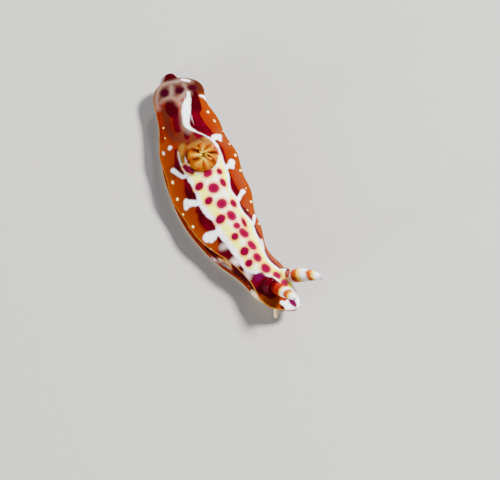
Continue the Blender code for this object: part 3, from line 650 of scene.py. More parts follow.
# %% Strokes of maroon, haze and pale arcs, and small dots
MAROON_STROKES = (
    ((-1.3, 25.65, 0.36), (-1.26, 25.0, 0.58), (-1.22, 24.35, 0.46)),
    ((-1.08, 23.75, 0.32), (-1.22, 23.03, 0.34), (-1.34, 22.31, 0.26)),
    ((-0.52, 21.95, 0.18), (-0.65, 21.51, 0.24), (-0.79, 21.07, 0.16)),
    ((0.2, 20.85, 0.10), (0.6, 20.93, 0.12)), ((-0.2, 20.4, 0.08), (0.1, 20.38, 0.08)),
    ((-0.85, 20.4, 0.10), (-0.8, 20.2, 0.10)),
    ((1.60, 26.2, 0.24), (1.42, 25.8, 0.36), (1.42, 25.2, 0.38), (1.45, 24.5, 0.30), (1.1, 23.8, 0.24)),
    ((0.95, 23.75, 0.26), (0.92, 23.05, 0.42), (1.02, 22.4, 0.46), (1.3, 21.85, 0.40),
     (1.65, 21.45, 0.26)),
    ((1.55, 21.4, 0.22), (1.95, 21.08, 0.10)),
    ((1.1, 25.2, 0.2), (0.85, 24.5, 0.28), (0.6, 23.8, 0.28), (0.4, 23.0, 0.28), (0.3, 22.5, 0.2)),
    ((-1.66, 9.9, 0.32), (-1.66, 9.7, 0.32)), ((-2.1, 8.85, 0.50), (-2.1, 8.2, 0.54)),
    ((-2.45, 6.75, 0.42), (-2.55, 6.2, 0.62)),
    ((-1.75, 5.0, 0.36), (-1.6, 4.1, 0.55), (-1.5, 3.2, 0.5)), ((-1.5, 3.2, 0.5), (-1.55, 2.5, 0.4)),
    ((-2.2, 13.55, 0.26), (-2.08, 13.25, 0.20)),
)
# Half-strength maroon along the right side of the back: partly its own colour, partly painted shade.
REDDENED_AND_SHADED = (
    ((-2.0, 25.4, 0.35), (-1.9, 24.0, 0.45), (-1.9, 22.8, 0.5), (-2.0, 21.9, 0.3)),
    ((-2.6, 8.5, 0.7), (-2.4, 6.5, 0.8), (-2.2, 4.2, 0.7)),
    ((-2.6, 25.2, 0.1), (-2.9, 23.5, 0.1), (-3.1, 22.0, 0.0)),
)
REAR_SPOTS = (
    (0.15, 26.75, 0.50, 0.40, 10), (-1.44, 26.97, 0.42, 0.46, -10), (1.49, 26.85, 0.50, 0.30, 0),
    (-0.5, 28.35, 0.7, 0.12, 0),
)
FRONT_SPOTS = ((-1.19, 4.78, 0.42, 0.32, 0), (-0.22, 0.70, 0.30, 0.54, 20))
PALE_ARCS = (
    ((-2.17, 26.06, -0.02), (-1.69, 26.26, 0.0), (-1.07, 26.25, 0.02), (-0.54, 25.86, 0.02),
     (-0.29, 25.26, 0.03)),
    ((-0.29, 25.26, 0.08), (-0.13, 24.7, 0.05)),
    ((-0.35, 25.7, 0.05), (0.25, 26.1, 0.14), (0.75, 26.6, 0.10)),
    ((-0.53, 27.7, 0.0), (-0.7, 26.9, 0.05), (-0.95, 26.27, 0.02)),
    ((-2.43, 26.42, 0.0), (-2.02, 27.4, 0.02), (-1.47, 28.0, 0.06), (-0.6, 28.05, 0.08),
     (0.02, 27.95, 0.10)),
    ((0.02, 27.95, 0.10), (0.95, 28.0, 0.18), (1.5, 27.8, 0.08)),
    ((-2.5, 25.55, 0.0), (-2.43, 26.42, 0.0)),
    ((0.75, 27.5, 0.03), (0.82, 26.9, 0.05), (0.93, 26.3, 0.06)),
    ((-0.13, 24.7, 0.03), (-0.42, 23.9, 0.0), (-0.60, 23.0, -0.02), (-0.64, 22.3, 0.0),
     (-0.4, 21.7, 0.0)),
)
BLOOMS = (
    ((-1.6, 9.25, 0.10), (-2.0, 9.35, 0.06)),
    ((-1.6, 7.35, 0.26), (-2.1, 7.42, 0.20), (-2.9, 7.35, 0.12)),
    ((-1.6, 5.85, 0.18), (-1.9, 5.6, 0.12)),
)
HAZE = (
    ((-1.66, 20.5, 0.15), (-1.3, 20.85, 0.30), (-1.2, 21.64, 0.34), (-0.8, 22.3, 0.25),
     (-0.62, 23.2, 0.15)),
    ((-0.9, 20.8, 0.35), (0.0, 20.9, 0.40), (0.9, 20.45, 0.2)), ((-1.9, 21.4, 0.2), (-1.3, 21.3, 0.2)),
    ((-0.2, 22.0, 0.3), (0.2, 21.3, 0.3)),
    ((-1.95, 25.2, 0.1), (-2.0, 24.1, 0.15), (-2.2, 22.8, 0.15), (-2.0, 21.6, 0.1)),
)
OLIVE = (
    ((-1.5, 20.35, 0.15), (-1.82, 19.8, 0.16), (-1.93, 19.2, 0.13), (-1.9, 18.6, 0.08)),
    ((-0.9, 19.95, 0.12), (0.0, 20.15, 0.12), (1.0, 19.85, 0.12)),
    ((1.0, 20.5, 0.1), (1.75, 19.6, 0.1), (1.85, 18.6, 0.08)),
)
DOTS = (
    (2.35, 23.8, 0.13, 0.16, 0), (2.74, 22.68, 0.10, 0.18, 20), (3.55, 19.83, 0.10, 0.13, 0),
    (3.72, 18.4, 0.11, 0.17, 0), (3.70, 16.58, 0.12, 0.14, 0), (3.44, 14.28, 0.07, 0.08, 0),
    (3.35, 12.61, 0.12, 0.14, 0), (2.40, 11.68, 0.06, 0.08, 0), (2.91, 9.88, 0.10, 0.12, 0),
    (-2.58, 23.24, 0.08, 0.10, 0), (-3.45, 17.36, 0.10, 0.20, 0), (-3.6, 15.61, 0.12, 0.14, 0),
    (-3.62, 14.07, 0.06, 0.10, 0), (-3.35, 12.55, 0.10, 0.15, 0), (-3.0, 9.9, 0.08, 0.10, 0),
    (2.75, 24.6, 0.06, 0.08, 0), (3.3, 21.5, 0.06, 0.08, 0), (-2.75, 22.1, 0.06, 0.08, 0),
)
print("dots along the margin:", len(DOTS))


# %% Shares and distances that need more than strokes
MAROON_REAR_END = 20.4
MARGIN_CAP = 3.0


def maroon_share(v, s, outside_left, outside_right):
    """1 in the dark heart of a crescent or blotch, falling to 0 at its soft edge."""
    left = ease(outside_left / np.maximum(0.05, curve_at(s, MAROON_REACH_LEFT)), 1.15, 0.5)
    right = ease(outside_right / np.maximum(0.05, curve_at(s, MAROON_REACH_RIGHT)), 1.15, 0.5)
    left = np.where((v > 0) & (outside_left > -0.2), left, 0.0)
    right = np.where((v < 0) & (outside_right > -0.2) & (s < MAROON_REAR_END), right, 0.0)
    blotch = ease(stroke_distance(v, s, MAROON_STROKES), 0.22, -0.10)
    # Half maroon along the right side, partly painted shade.
    reddened_and_shaded = 0.5 * ease(stroke_distance(v, s, REDDENED_AND_SHADED), 0.9, -0.2)
    return np.maximum(np.maximum(np.maximum(left, right), blotch), reddened_and_shaded)


def margin_distance(v, s):
    """Distance in from the mantle's outline, seen from above, up to a cap."""
    stations = np.linspace(0.0, 1.0, 420)
    stations = MANTLE_LENGTH * (1 - np.cos(np.pi * stations)) / 2
    sides = [np.column_stack([side * half_width(stations, side), stations]) for side in (1.0, -1.0)]
    best = np.full(len(v), MARGIN_CAP**2)
    for at_v, at_s in np.vstack(sides):
        best = np.minimum(best, (v - at_v) ** 2 + (s - at_s) ** 2)
    return np.sqrt(best)


def add_values(mesh, name, values):
    layer = mesh.attributes.new(name, "FLOAT", "POINT")
    layer.data.foreach_set("value", np.asarray(values, dtype=np.float32))


sample = margin_distance(np.zeros(1), np.full(1, GILL_AT))
print("margin distance at the gill, mm:", sample.round(2).tolist())

# %% Measure every mark on the skin
STRIP_LEFT_MIDDLE, STRIP_LEFT_HALF = 10.2, 8.2
STRIP_RIGHT_MIDDLE, STRIP_RIGHT_HALF = 11.6, 6.6
BAND_SIDE_END = 20.2
GILL_REACH, GILL_ABOVE = 1.8, 3.0
MOUTH_HALF_WIDTH, MOUTH_HALF_HEIGHT, MOUTH_HEIGHT, MOUTH_BACK = 0.05, 0.34, 0.84, 1.5
INNER_LEFT = (
    (1.6, 0.35), (2.6, 0.25), (3.6, 0.1), (4.4, -0.2), (5.3, -0.45), (6.2, -0.3), (7.0, -0.05), (8.0, 0.2),
    (9.1, 0.5), (9.8, 0.72), (10.8, 0.98), (11.4, 0.98), (12.2, 0.88), (13.3, 1.05), (14.0, 1.12),
    (14.8, 1.05), (15.7, 1.18), (16.66, 1.3), (17.4, 1.5), (18.6, 1.7),
)
INNER_RIGHT = (
    (5.0, -0.95), (6.3, -1.0), (7.2, -0.75), (8.0, -0.62), (8.8, -0.42), (10.1, -0.48), (10.6, -0.55),
    (11.2, -0.52), (12.6, -0.62), (13.2, -0.66), (14.3, -0.68), (14.9, -0.72), (15.4, -0.82), (16.6, -0.95),
    (17.2, -1.2), (18.0, -1.6),
)
v, s, z = straight.T
strokes = [LEFT_LINE, RIGHT_LINE, *LEFT_LOBES, *RIGHT_LOBES, *INNER_LINES]
white = np.minimum(stroke_distance(v, s, strokes), spot_distance(v, s, BALLS))
white = np.minimum(white, band_distance(v, s))
left_v, right_v = line_at(s, LEFT_LINE[BAND_FROM_LEFT:]), line_at(s, RIGHT_LINE[BAND_FROM_RIGHT:])
strip_left = np.maximum(curve_at(s, INNER_LEFT) - v, v - left_v + 0.10)
strip_left = np.maximum(strip_left, np.abs(s - STRIP_LEFT_MIDDLE) - STRIP_LEFT_HALF)
strip_right = np.maximum(v - curve_at(s, INNER_RIGHT), right_v + 0.14 - v)
strip_right = np.maximum(strip_right, np.abs(s - STRIP_RIGHT_MIDDLE) - STRIP_RIGHT_HALF)
outer = np.where(s < BAND_SIDE_END, v - left_v, stroke_distance(v, s, [LEFT_LINE]))
side_marks = np.minimum(spot_distance(v, s, SIDE_SPOTS), stroke_distance(v, s, CRIMSON_STROKES))
from_gill = np.hypot(v, s - GILL_AT)
lift = z - plain_back(v, s) + LIP_RADIUS
lift = np.where((from_gill < GILL_REACH) & (z > GILL_ABOVE), 0.3, lift)
slit = np.hypot(v / MOUTH_HALF_WIDTH, (z - MOUTH_HEIGHT) / MOUTH_HALF_HEIGHT) * MOUTH_HALF_WIDTH
mouth = np.maximum(slit - MOUTH_HALF_WIDTH, s - MOUTH_BACK)

marks = {
    "white": white, "strip": np.minimum(strip_left, strip_right),
    "spots": spot_distance(v, s, CENTRAL_SPOTS), "side_spots": side_marks,
    "rear_spots": spot_distance(v, s, REAR_SPOTS), "front_spots": spot_distance(v, s, FRONT_SPOTS),
    "pale": stroke_distance(v, s, PALE_ARCS), "bloom": stroke_distance(v, s, BLOOMS),
    "haze": stroke_distance(v, s, HAZE), "olive": stroke_distance(v, s, OLIVE),
    "maroon": maroon_share(v, s, outer, right_v - v), "dots": spot_distance(v, s, DOTS),
    "margin": margin_distance(v, s), "along": s, "height": z, "gill_radius": from_gill,
    "lift": lift, "above_floor": z - under_height(v, s), "mouth": mouth,
}
for name, values in marks.items():
    add_values(skin.data, name, values)
print("white skin, share of points:", round(float((white < 0).mean()), 3))

# %% Pose the skin
def pose(piece, points):
    """Puts straight-body points into the pose of the solids, in metres."""
    posed = (place(points) + moved) * MM
    piece.data.vertices.foreach_set("co", posed.ravel())
    piece.data.update()
    piece.data.shade_smooth()
    return posed


posed = pose(skin, straight)
print("skin, mm:", ((posed.max(axis=0) - posed.min(axis=0)) / MM).round(2).tolist())

# %% [markdown]
# ## The skin's material
# Wet slug skin is soft, glossy flesh: light goes in and comes out warmer, and a clear
# film of slime gives sharp small highlights. So the material has subsurface light, a
# coat and a very fine grain in its bump. Colours are laid one over another, each with
# a mask that a distance and a little noise make.

# %% Helpers for materials
def shader_node(tree, kind, inputs=(), **settings):
    made = tree.nodes.new(kind)
    for name, value in settings.items():
        setattr(made, name, value)
    for key, value in dict(inputs).items():
        if isinstance(value, bpy.types.NodeSocket):
            tree.links.new(value, made.inputs[key])
        else:
            made.inputs[key].default_value = value
    return made


def attribute(tree, name):
    return shader_node(tree, "ShaderNodeAttribute", attribute_name=name).outputs["Fac"]


def maths(tree, operation, a, b=0.0):
    return shader_node(tree, "ShaderNodeMath", {0: a, 1: b}, operation=operation).outputs[0]


def soft_mask(tree, value, none_at, full_at):
    inputs = {"Value": value, "From Min": none_at, "From Max": full_at}
    made = shader_node(tree, "ShaderNodeMapRange", inputs, interpolation_type="SMOOTHSTEP")
    return made.outputs[0]


def over(tree, mask, colour, base):
    """Lays a colour over a base where the mask is 1."""
    made = shader_node(tree, "ShaderNodeMix", data_type="RGBA")
    for key, value in ((0, mask), (6, base), (7, colour)):
        if isinstance(value, bpy.types.NodeSocket):
            tree.links.new(value, made.inputs[key])
        else:
            made.inputs[key].default_value = value if key == 0 else (*value, 1.0)
    return made.outputs[2]


def noise(tree, size_mm, detail=2.0, rough=0.5):
    """Noise from -0.5 to 0.5 with patches of about the given size."""
    where = shader_node(tree, "ShaderNodeTexCoord").outputs["Object"]
    inputs = {"Vector": where, "Scale": 1.0 / (size_mm * MM), "Detail": detail, "Roughness": rough}
    made = shader_node(tree, "ShaderNodeTexNoise", inputs, noise_dimensions="3D")
    return maths(tree, "SUBTRACT", made.outputs[0], 0.5)


def wet_material(name, roughness=0.32, coat=0.3, scatter=0.18, bump_mm=0.010):
    """A wet flesh shader with a fine grain; its colour is linked afterwards."""
    made = bpy.data.materials.new(name)
    made.use_nodes = True
    tree = made.node_tree
    shader = tree.nodes["Principled BSDF"]
    shader.inputs["Roughness"].default_value = roughness
    shader.inputs["IOR"].default_value = 1.36
    shader.inputs["Specular IOR Level"].default_value = 0.0
    shader.inputs["Coat Weight"].default_value = coat
    shader.inputs["Coat Roughness"].default_value = 0.06
    shader.inputs["Coat IOR"].default_value = 1.34
    shader.inputs["Subsurface Weight"].default_value = scatter
    shader.inputs["Subsurface Radius"].default_value = (1.0, 0.35, 0.2)
    shader.inputs["Subsurface Scale"].default_value = 0.2 * MM
    fine = maths(tree, "MULTIPLY", noise(tree, 0.12, 1.0), 0.35)
    grain = maths(tree, "ADD", noise(tree, 0.45, 3.0, 0.6), fine)
    inputs = {"Height": grain, "Distance": bump_mm * MM, "Strength": 1.0}
    bump = shader_node(tree, "ShaderNodeBump", inputs)
    tree.links.new(bump.outputs[0], shader.inputs["Normal"])
    return made, tree, shader


print("helpers ready for Blender", bpy.app.version_string)

# %% Colours of the skin
WHITE = (0.93, 0.95, 0.92)
PALE_YELLOW = (0.86, 0.90, 0.03)
CREAM = (0.92, 0.76, 0.30)
MAGENTA = (0.17, 0.0, 0.028)
PINK = (0.66, 0.15, 0.12)
CRIMSON = (0.12, 0.0, 0.018)
ORANGE = (0.15, 0.011, 0.0)
MARGIN_ORANGE = (0.17, 0.024, 0.0)
RED_ORANGE = (0.12, 0.006, 0.0)
MAROON = (0.030, 0.0, 0.0015)
DULL_PINK = (0.22, 0.05, 0.045)
THIN_WHITE = (0.84, 0.84, 0.90)
AMBER = (0.70, 0.24, 0.02)
GOLD = (0.42, 0.17, 0.012)
BROWN = (0.060, 0.015, 0.007)
OLIVE_GOLD = (0.21, 0.10, 0.012)
DUSKY_AND_SHADE = (0.034, 0.007, 0.004)
ARC_IN_PAINTED_SHADE = (0.24, 0.165, 0.13)
VIOLET = (0.024, 0.0, 0.004)
FOOT_CREAM = (0.80, 0.62, 0.36)
FLANK_CREAM = (0.40, 0.22, 0.07)
BLUSH = (0.80, 0.46, 0.46)
DEEP_RED = (0.080, 0.0, 0.005)
BLOOM = (0.66, 0.54, 0.50)
DUSTY_MAGENTA = (0.085, 0.0, 0.030)


def back_colour(tree):
    """Everything painted on the upper side of the mantle.

    A mask names where it starts and where it is full, mostly in millimetres from its mark.
    """
    ragged = maths(tree, "MULTIPLY", noise(tree, 0.5, 3.0), 0.16)
    slight = maths(tree, "MULTIPLY", ragged, 0.6)
    cloudy = noise(tree, 1.6, 3.0)
    margin = attribute(tree, "margin")
    along = attribute(tree, "along")
    cloud = maths(tree, "MULTIPLY", cloudy, 0.3)

    def soft(name, none_at, full_at, waver):
        return soft_mask(tree, maths(tree, "ADD", attribute(tree, name), waver), none_at, full_at)

    def part(mask, share):
        return maths(tree, "MULTIPLY", mask, share)

    colour = over(tree, soft_mask(tree, margin, 1.5, 0.1), MARGIN_ORANGE, ORANGE)
    dark = maths(tree, "ADD", attribute(tree, "maroon"), cloud)
    colour = over(tree, soft_mask(tree, dark, 0.10, 0.42), RED_ORANGE, colour)
    colour = over(tree, part(soft("haze", 0.40, -0.15, cloud), 0.8), BROWN, colour)
    # The rear end of the back darkens to dusky brown: partly its own dark colour, partly painted shade.
    colour = over(tree, part(soft_mask(tree, along, 25.6, 26.5), 0.9), DUSKY_AND_SHADE, colour)
    redder = part(soft_mask(tree, noise(tree, 1.2, 2.0), -0.2, 0.2), soft_mask(tree, along, 24.4, 23.4))
    colour = over(tree, soft_mask(tree, dark, 0.36, 0.72), over(tree, redder, DEEP_RED, MAROON), colour)
    colour = over(tree, part(soft("olive", 0.38, -0.10, slight), 0.85), OLIVE_GOLD, colour)
    # Pale arcs: the white network at the rear, painted dim grey-brown, so real lines with painted shade.
    colour = over(tree, part(soft("pale", 0.60, 0.0, cloud), 0.35), ARC_IN_PAINTED_SHADE, colour)
    colour = over(tree, soft("rear_spots", 0.22, -0.14, slight), VIOLET, colour)
    colour = over(tree, part(soft("pale", 0.20, -0.18, cloud), 0.7), ARC_IN_PAINTED_SHADE, colour)
    white = maths(tree, "ADD", attribute(tree, "white"), ragged)
    milky = over(tree, soft_mask(tree, noise(tree, 0.7, 3.0), -0.12, 0.2), WHITE, THIN_WHITE)
    colour = over(tree, soft_mask(tree, white, 0.12, -0.09), milky, colour)
    colour = over(tree, part(soft("bloom", 0.50, -0.25, ragged), 0.75), BLOOM, colour)
    inside = soft_mask(tree, white, -0.02, -0.14)
    strip = soft("strip", 0.10, -0.12, slight)
    by_gill = part(soft_mask(tree, attribute(tree, "gill_radius"), 2.6, 1.9), 0.45)
    colour = over(tree, part(by_gill, inside), PALE_YELLOW, colour)
    mottle = maths(tree, "ADD", part(soft_mask(tree, noise(tree, 0.6, 2.0), -0.25, 0.1), 0.5), 0.5)
    colour = over(tree, part(part(strip, inside), mottle), PALE_YELLOW, colour)
    spots = maths(tree, "ADD", attribute(tree, "spots"), slight)
    colour = over(tree, part(part(soft_mask(tree, spots, 0.56, 0.26), 0.6), inside), PALE_YELLOW, colour)
    halo = over(tree, soft_mask(tree, along, 10.0, 5.0), AMBER, PINK)
    colour = over(tree, part(soft_mask(tree, spots, 0.32, 0.14), 0.75), halo, colour)
    colour = over(tree, soft_mask(tree, spots, 0.14, -0.01), MAGENTA, colour)
    colour = over(tree, soft_mask(tree, spots, -0.05, -0.32), CRIMSON, colour)
    side = maths(tree, "ADD", attribute(tree, "side_spots"), slight)
    colour = over(tree, part(soft_mask(tree, side, 0.32, 0.12), 0.75), AMBER, colour)
    colour = over(tree, soft_mask(tree, side, 0.13, -0.01), CRIMSON, colour)
    pocket = soft_mask(tree, attribute(tree, "gill_radius"), 1.42, 1.22)
    colour = over(tree, part(pocket, 0.85), GOLD, colour)
    colour = over(tree, soft("front_spots", 0.14, -0.08, slight), DUSTY_MAGENTA, colour)
    dots = soft("dots", 0.03, -0.03, part(ragged, 0.4))
    colour = over(tree, dots, CREAM, colour)
    return over(tree, part(soft_mask(tree, margin, 0.09, 0.03), 0.7), GOLD, colour)


def flank_colour(tree):
    """Rounded maroon blotches on cream below the mantle, and the foot's pale edge."""
    height = attribute(tree, "height")
    along = attribute(tree, "along")
    where = shader_node(tree, "ShaderNodeTexCoord").outputs["Object"]
    inputs = {"Vector": where, "Scale": 1.0 / (1.15 * MM), "Smoothness": 0.35, "Randomness": 0.8}
    cells = shader_node(tree, "ShaderNodeTexVoronoi", inputs, feature="SMOOTH_F1").outputs["Distance"]
    cells = maths(tree, "ADD", cells, maths(tree, "MULTIPLY", noise(tree, 0.5), 0.25))
    colour = over(tree, soft_mask(tree, cells, 0.86, 0.68), RED_ORANGE, FLANK_CREAM)
    colour = over(tree, soft_mask(tree, cells, 0.64, 0.50), MAROON, colour)
    colour = over(tree, soft_mask(tree, along, 24.6, 26.4), MAROON, colour)
    skirt = maths(tree, "ADD", height, maths(tree, "MULTIPLY", noise(tree, 1.2), 0.3))
    colour = over(tree, soft_mask(tree, skirt, 0.62, 0.46), ORANGE, colour)
    colour = over(tree, soft_mask(tree, height, 0.26, 0.18), FOOT_CREAM, colour)
    wavering = maths(tree, "MULTIPLY", noise(tree, 1.4), 3.6)
    wavering = maths(tree, "ADD", wavering, maths(tree, "MULTIPLY", cells, 1.5))
    head = soft_mask(tree, maths(tree, "ADD", along, wavering), 5.4, 4.0)
    face = over(tree, soft_mask(tree, noise(tree, 0.8, 2.0), -0.1, 0.25), BLUSH, FOOT_CREAM)
    face = over(tree, soft_mask(tree, attribute(tree, "mouth"), 0.05, -0.01), CRIMSON, face)
    return over(tree, head, face, colour)


skin_look, tree, shader = wet_material("wet_skin")
under = over(tree, soft_mask(tree, attribute(tree, "margin"), 0.3, 1.4), CREAM, DULL_PINK)
under_mantle = soft_mask(tree, attribute(tree, "above_floor"), -0.14, -0.03)
lower = over(tree, under_mantle, under, flank_colour(tree))
on_back = soft_mask(tree, attribute(tree, "lift"), -0.06, 0.02)
tree.links.new(over(tree, on_back, back_colour(tree), lower), shader.inputs["Base Color"])
skin.data.materials.clear()
skin.data.materials.append(skin_look)
print("nodes in the skin's material:", len(tree.nodes))

# %% [markdown]
# ## Rhinophores: leaves on a club
# Each rhinophore is a club that smells the water. Thin leaves, the lamellae, circle it
# and slope down towards the front. Eighteen leaves that shrink towards the club's tip
# are a repeat along a path, so Geometry Nodes set one leaf on every point of a line,
# with its size read from a curve, and a tapered core joins them.

# %% A tree for the ringed club
def group_tree(name, inputs):
    """An empty Geometry Nodes tree with named inputs: (name, socket type, default)."""
    tree = bpy.data.node_groups.new(name, "GeometryNodeTree")
    tree.interface.new_socket("Geometry", in_out="INPUT", socket_type="NodeSocketGeometry")
    for label, kind, default in inputs:
        socket = tree.interface.new_socket(label, in_out="INPUT", socket_type="NodeSocket" + kind)
        if default is not None:
            socket.default_value = default
    tree.interface.new_socket("Geometry", in_out="OUTPUT", socket_type="NodeSocketGeometry")
    return tree, tree.nodes.new("NodeGroupInput").outputs, tree.nodes.new("NodeGroupOutput").inputs


def size_curve(tree, share, stations):
    """A smooth curve of sizes along a share from 0 to 1."""
    made = shader_node(tree, "ShaderNodeFloatCurve", {"Value": share})
    points = made.mapping.curves[0].points
    while len(points) < len(stations):
        points.new(0.5, 0.5)
    for point, (x, y) in zip(points, stations):
        point.location = (x, y)
    made.mapping.update()
    return made.outputs[0]


def vector(tree, x=0.0, y=0.0, z=0.0):
    return shader_node(tree, "ShaderNodeCombineXYZ", {0: x, 1: y, 2: z}).outputs[0]


def finished(tree, parts, material, result):
    """Joins the parts, makes their copies real and gives them all the material."""
    join = shader_node(tree, "GeometryNodeJoinGeometry")
    for part in parts:
        tree.links.new(part, join.inputs[0])
    real = shader_node(tree, "GeometryNodeRealizeInstances", {0: join.outputs[0]})
    inputs = {"Geometry": real.outputs[0], "Material": material}
    painted = shader_node(tree, "GeometryNodeSetMaterial", inputs)
    tree.links.new(painted.outputs[0], result[0])


CORE_SIZES = (
    (0.0, 0.80), (0.12, 0.80), (0.2, 0.72), (0.5, 0.66), (0.78, 0.44), (0.96, 0.22), (1.0, 0.06),
)
LAST_LEAF_AT = 0.95
CLUB_SIZES = ((0.0, 0.86), (0.22, 1.0), (0.5, 0.93), (0.78, 0.62), (1.0, 0.2))


def club_tree():
    tree, given, result = group_tree("ringed_club", (
        ("Length", "Float", 3.5), ("Radius", "Float", 0.66), ("Leaves", "Int", 18),
        ("Leaf thickness", "Float", 0.09), ("Slope", "Float", 0.5), ("Stalk", "Float", 0.14),
        ("Material", "Material", None),
    ))
    last = maths(tree, "SUBTRACT", given["Leaves"], 1.0)
    share = maths(tree, "DIVIDE", shader_node(tree, "GeometryNodeInputIndex").outputs[0], last)
    leafy = maths(tree, "SUBTRACT", LAST_LEAF_AT, given["Stalk"])
    share = maths(tree, "ADD", given["Stalk"], maths(tree, "MULTIPLY", share, leafy))
    line = shader_node(tree, "GeometryNodeMeshLine", {"Count": given["Leaves"]})
    height = maths(tree, "MULTIPLY", share, given["Length"])
    inputs = {"Geometry": line.outputs[0], "Position": vector(tree, z=height)}
    placed = shader_node(tree, "GeometryNodeSetPosition", inputs)
    leaf = shader_node(tree, "GeometryNodeMeshCylinder", {
        "Vertices": 36, "Side Segments": 1, "Fill Segments": 5, "Radius": 1.0,
        "Depth": given["Leaf thickness"],
    })
    place_now = shader_node(tree, "GeometryNodeInputPosition").outputs[0]
    parts = shader_node(tree, "ShaderNodeSeparateXYZ", {0: place_now}).outputs
    inputs = {0: vector(tree, parts[0], parts[1])}
    reach = shader_node(tree, "ShaderNodeVectorMath", inputs, operation="LENGTH").outputs["Value"]
    thin = maths(tree, "SUBTRACT", 1.0, maths(tree, "MULTIPLY", maths(tree, "POWER", reach, 3.0), 0.55))
    droop = maths(tree, "MULTIPLY", maths(tree, "MULTIPLY", reach, reach), -0.14)
    slope = maths(tree, "MULTIPLY", maths(tree, "MULTIPLY", parts[0], given["Slope"]), -1.0)
    new_z = maths(tree, "ADD", maths(tree, "MULTIPLY", parts[2], thin), maths(tree, "ADD", slope, droop))
    shaped = shader_node(tree, "GeometryNodeSetPosition", {
        "Geometry": leaf.outputs[0], "Position": vector(tree, parts[0], parts[1], new_z),
    })
    size = maths(tree, "MULTIPLY", size_curve(tree, share, CLUB_SIZES), given["Radius"])
    leaves = shader_node(tree, "GeometryNodeInstanceOnPoints", {
        "Points": placed.outputs[0], "Instance": shaped.outputs[0], "Scale": vector(tree, size, size, size),
    })
    spine = shader_node(tree, "GeometryNodeCurvePrimitiveLine", {"End": vector(tree, z=given["Length"])})
    spine = shader_node(tree, "GeometryNodeResampleCurve", {"Curve": spine.outputs[0], "Count": 40})
    along = shader_node(tree, "GeometryNodeSplineParameter").outputs[0]
    core_size = maths(tree, "MULTIPLY", size_curve(tree, along, CORE_SIZES), given["Radius"])
    ring = shader_node(tree, "GeometryNodeCurvePrimitiveCircle", {"Resolution": 28, "Radius": 1.0})
    core = shader_node(tree, "GeometryNodeCurveToMesh", {
        "Curve": spine.outputs[0], "Profile Curve": ring.outputs[0], "Scale": core_size, "Fill Caps": True,
    })
    finished(tree, [core.outputs[0], leaves.outputs[0]], given["Material"], result)
    return tree


def grown(name, tree, values, base=None):
    """Runs a tree on an object and returns it as a plain mesh with no modifier."""
    made = bpy.data.objects.new(name, base or bpy.data.meshes.new(name + "_seed"))
    bpy.context.scene.collection.objects.link(made)
    modifier = made.modifiers.new("grow", "NODES")
    modifier.node_group = tree
    for item in tree.interface.items_tree:
        if item.item_type == "SOCKET" and item.in_out == "INPUT" and item.name in values:
            modifier[item.identifier] = values[item.name]
    graph = bpy.context.evaluated_depsgraph_get()
    mesh = bpy.data.meshes.new_from_object(made.evaluated_get(graph))
    made.modifiers.clear()
    made.data = mesh
    return made


print("sizes along the club:", len(CLUB_SIZES))

# %% Bands of colour on the rhinophores
FEELER_ORANGE = (0.40, 0.060, 0.0)
FEELER_RED = (0.26, 0.010, 0.002)
DARK_RED = (0.075, 0.001, 0.002)
YELLOW_CREAM = (0.90, 0.62, 0.06)
PINK_WHITE = (0.90, 0.62, 0.58)
LILAC = (0.50, 0.30, 0.42)
LEFT_BANDS = (
    (0.00, PINK_WHITE), (0.22, FEELER_RED), (0.28, FEELER_ORANGE), (0.38, YELLOW_CREAM), (0.48, WHITE),
    (0.63, FEELER_ORANGE), (0.75, YELLOW_CREAM), (0.81, WHITE), (0.93, LILAC),
)
RIGHT_BANDS = (
    (0.00, DARK_RED), (0.20, FEELER_RED), (0.44, YELLOW_CREAM), (0.50, WHITE), (0.60, FEELER_ORANGE),
    (0.73, YELLOW_CREAM), (0.80, WHITE), (0.94, LILAC),
)


def banded_look(name, bands, spot_share):
    made, tree, shader = wet_material(name, scatter=0.3, bump_mm=0.01)
    share = maths(tree, "ADD", attribute(tree, "share"), maths(tree, "MULTIPLY", noise(tree, 0.5), 0.06))
    colour = None
    for start, tint in bands:
        colour = over(tree, soft_mask(tree, share, start - 0.03, start + 0.03), tint, colour or tint)
    spot = maths(tree, "ADD", attribute(tree, "spot"), maths(tree, "MULTIPLY", noise(tree, 0.4), 0.3))
    blotch = maths(tree, "MULTIPLY", soft_mask(tree, spot, 1.1, 0.8), spot_share)
    tree.links.new(over(tree, blotch, FEELER_RED, colour), shader.inputs["Base Color"])
    return made


print("bands:", len(LEFT_BANDS), "left and", len(RIGHT_BANDS), "right")

# %% Grow and place the rhinophores
LEAVES = 18
CLUB_SUNK = 0.25
CLUB_EXTRA = 0.55
RED_SPOT = {"along": 0.10, "half_along": 0.10, "front": -0.7, "half_front": 0.75}

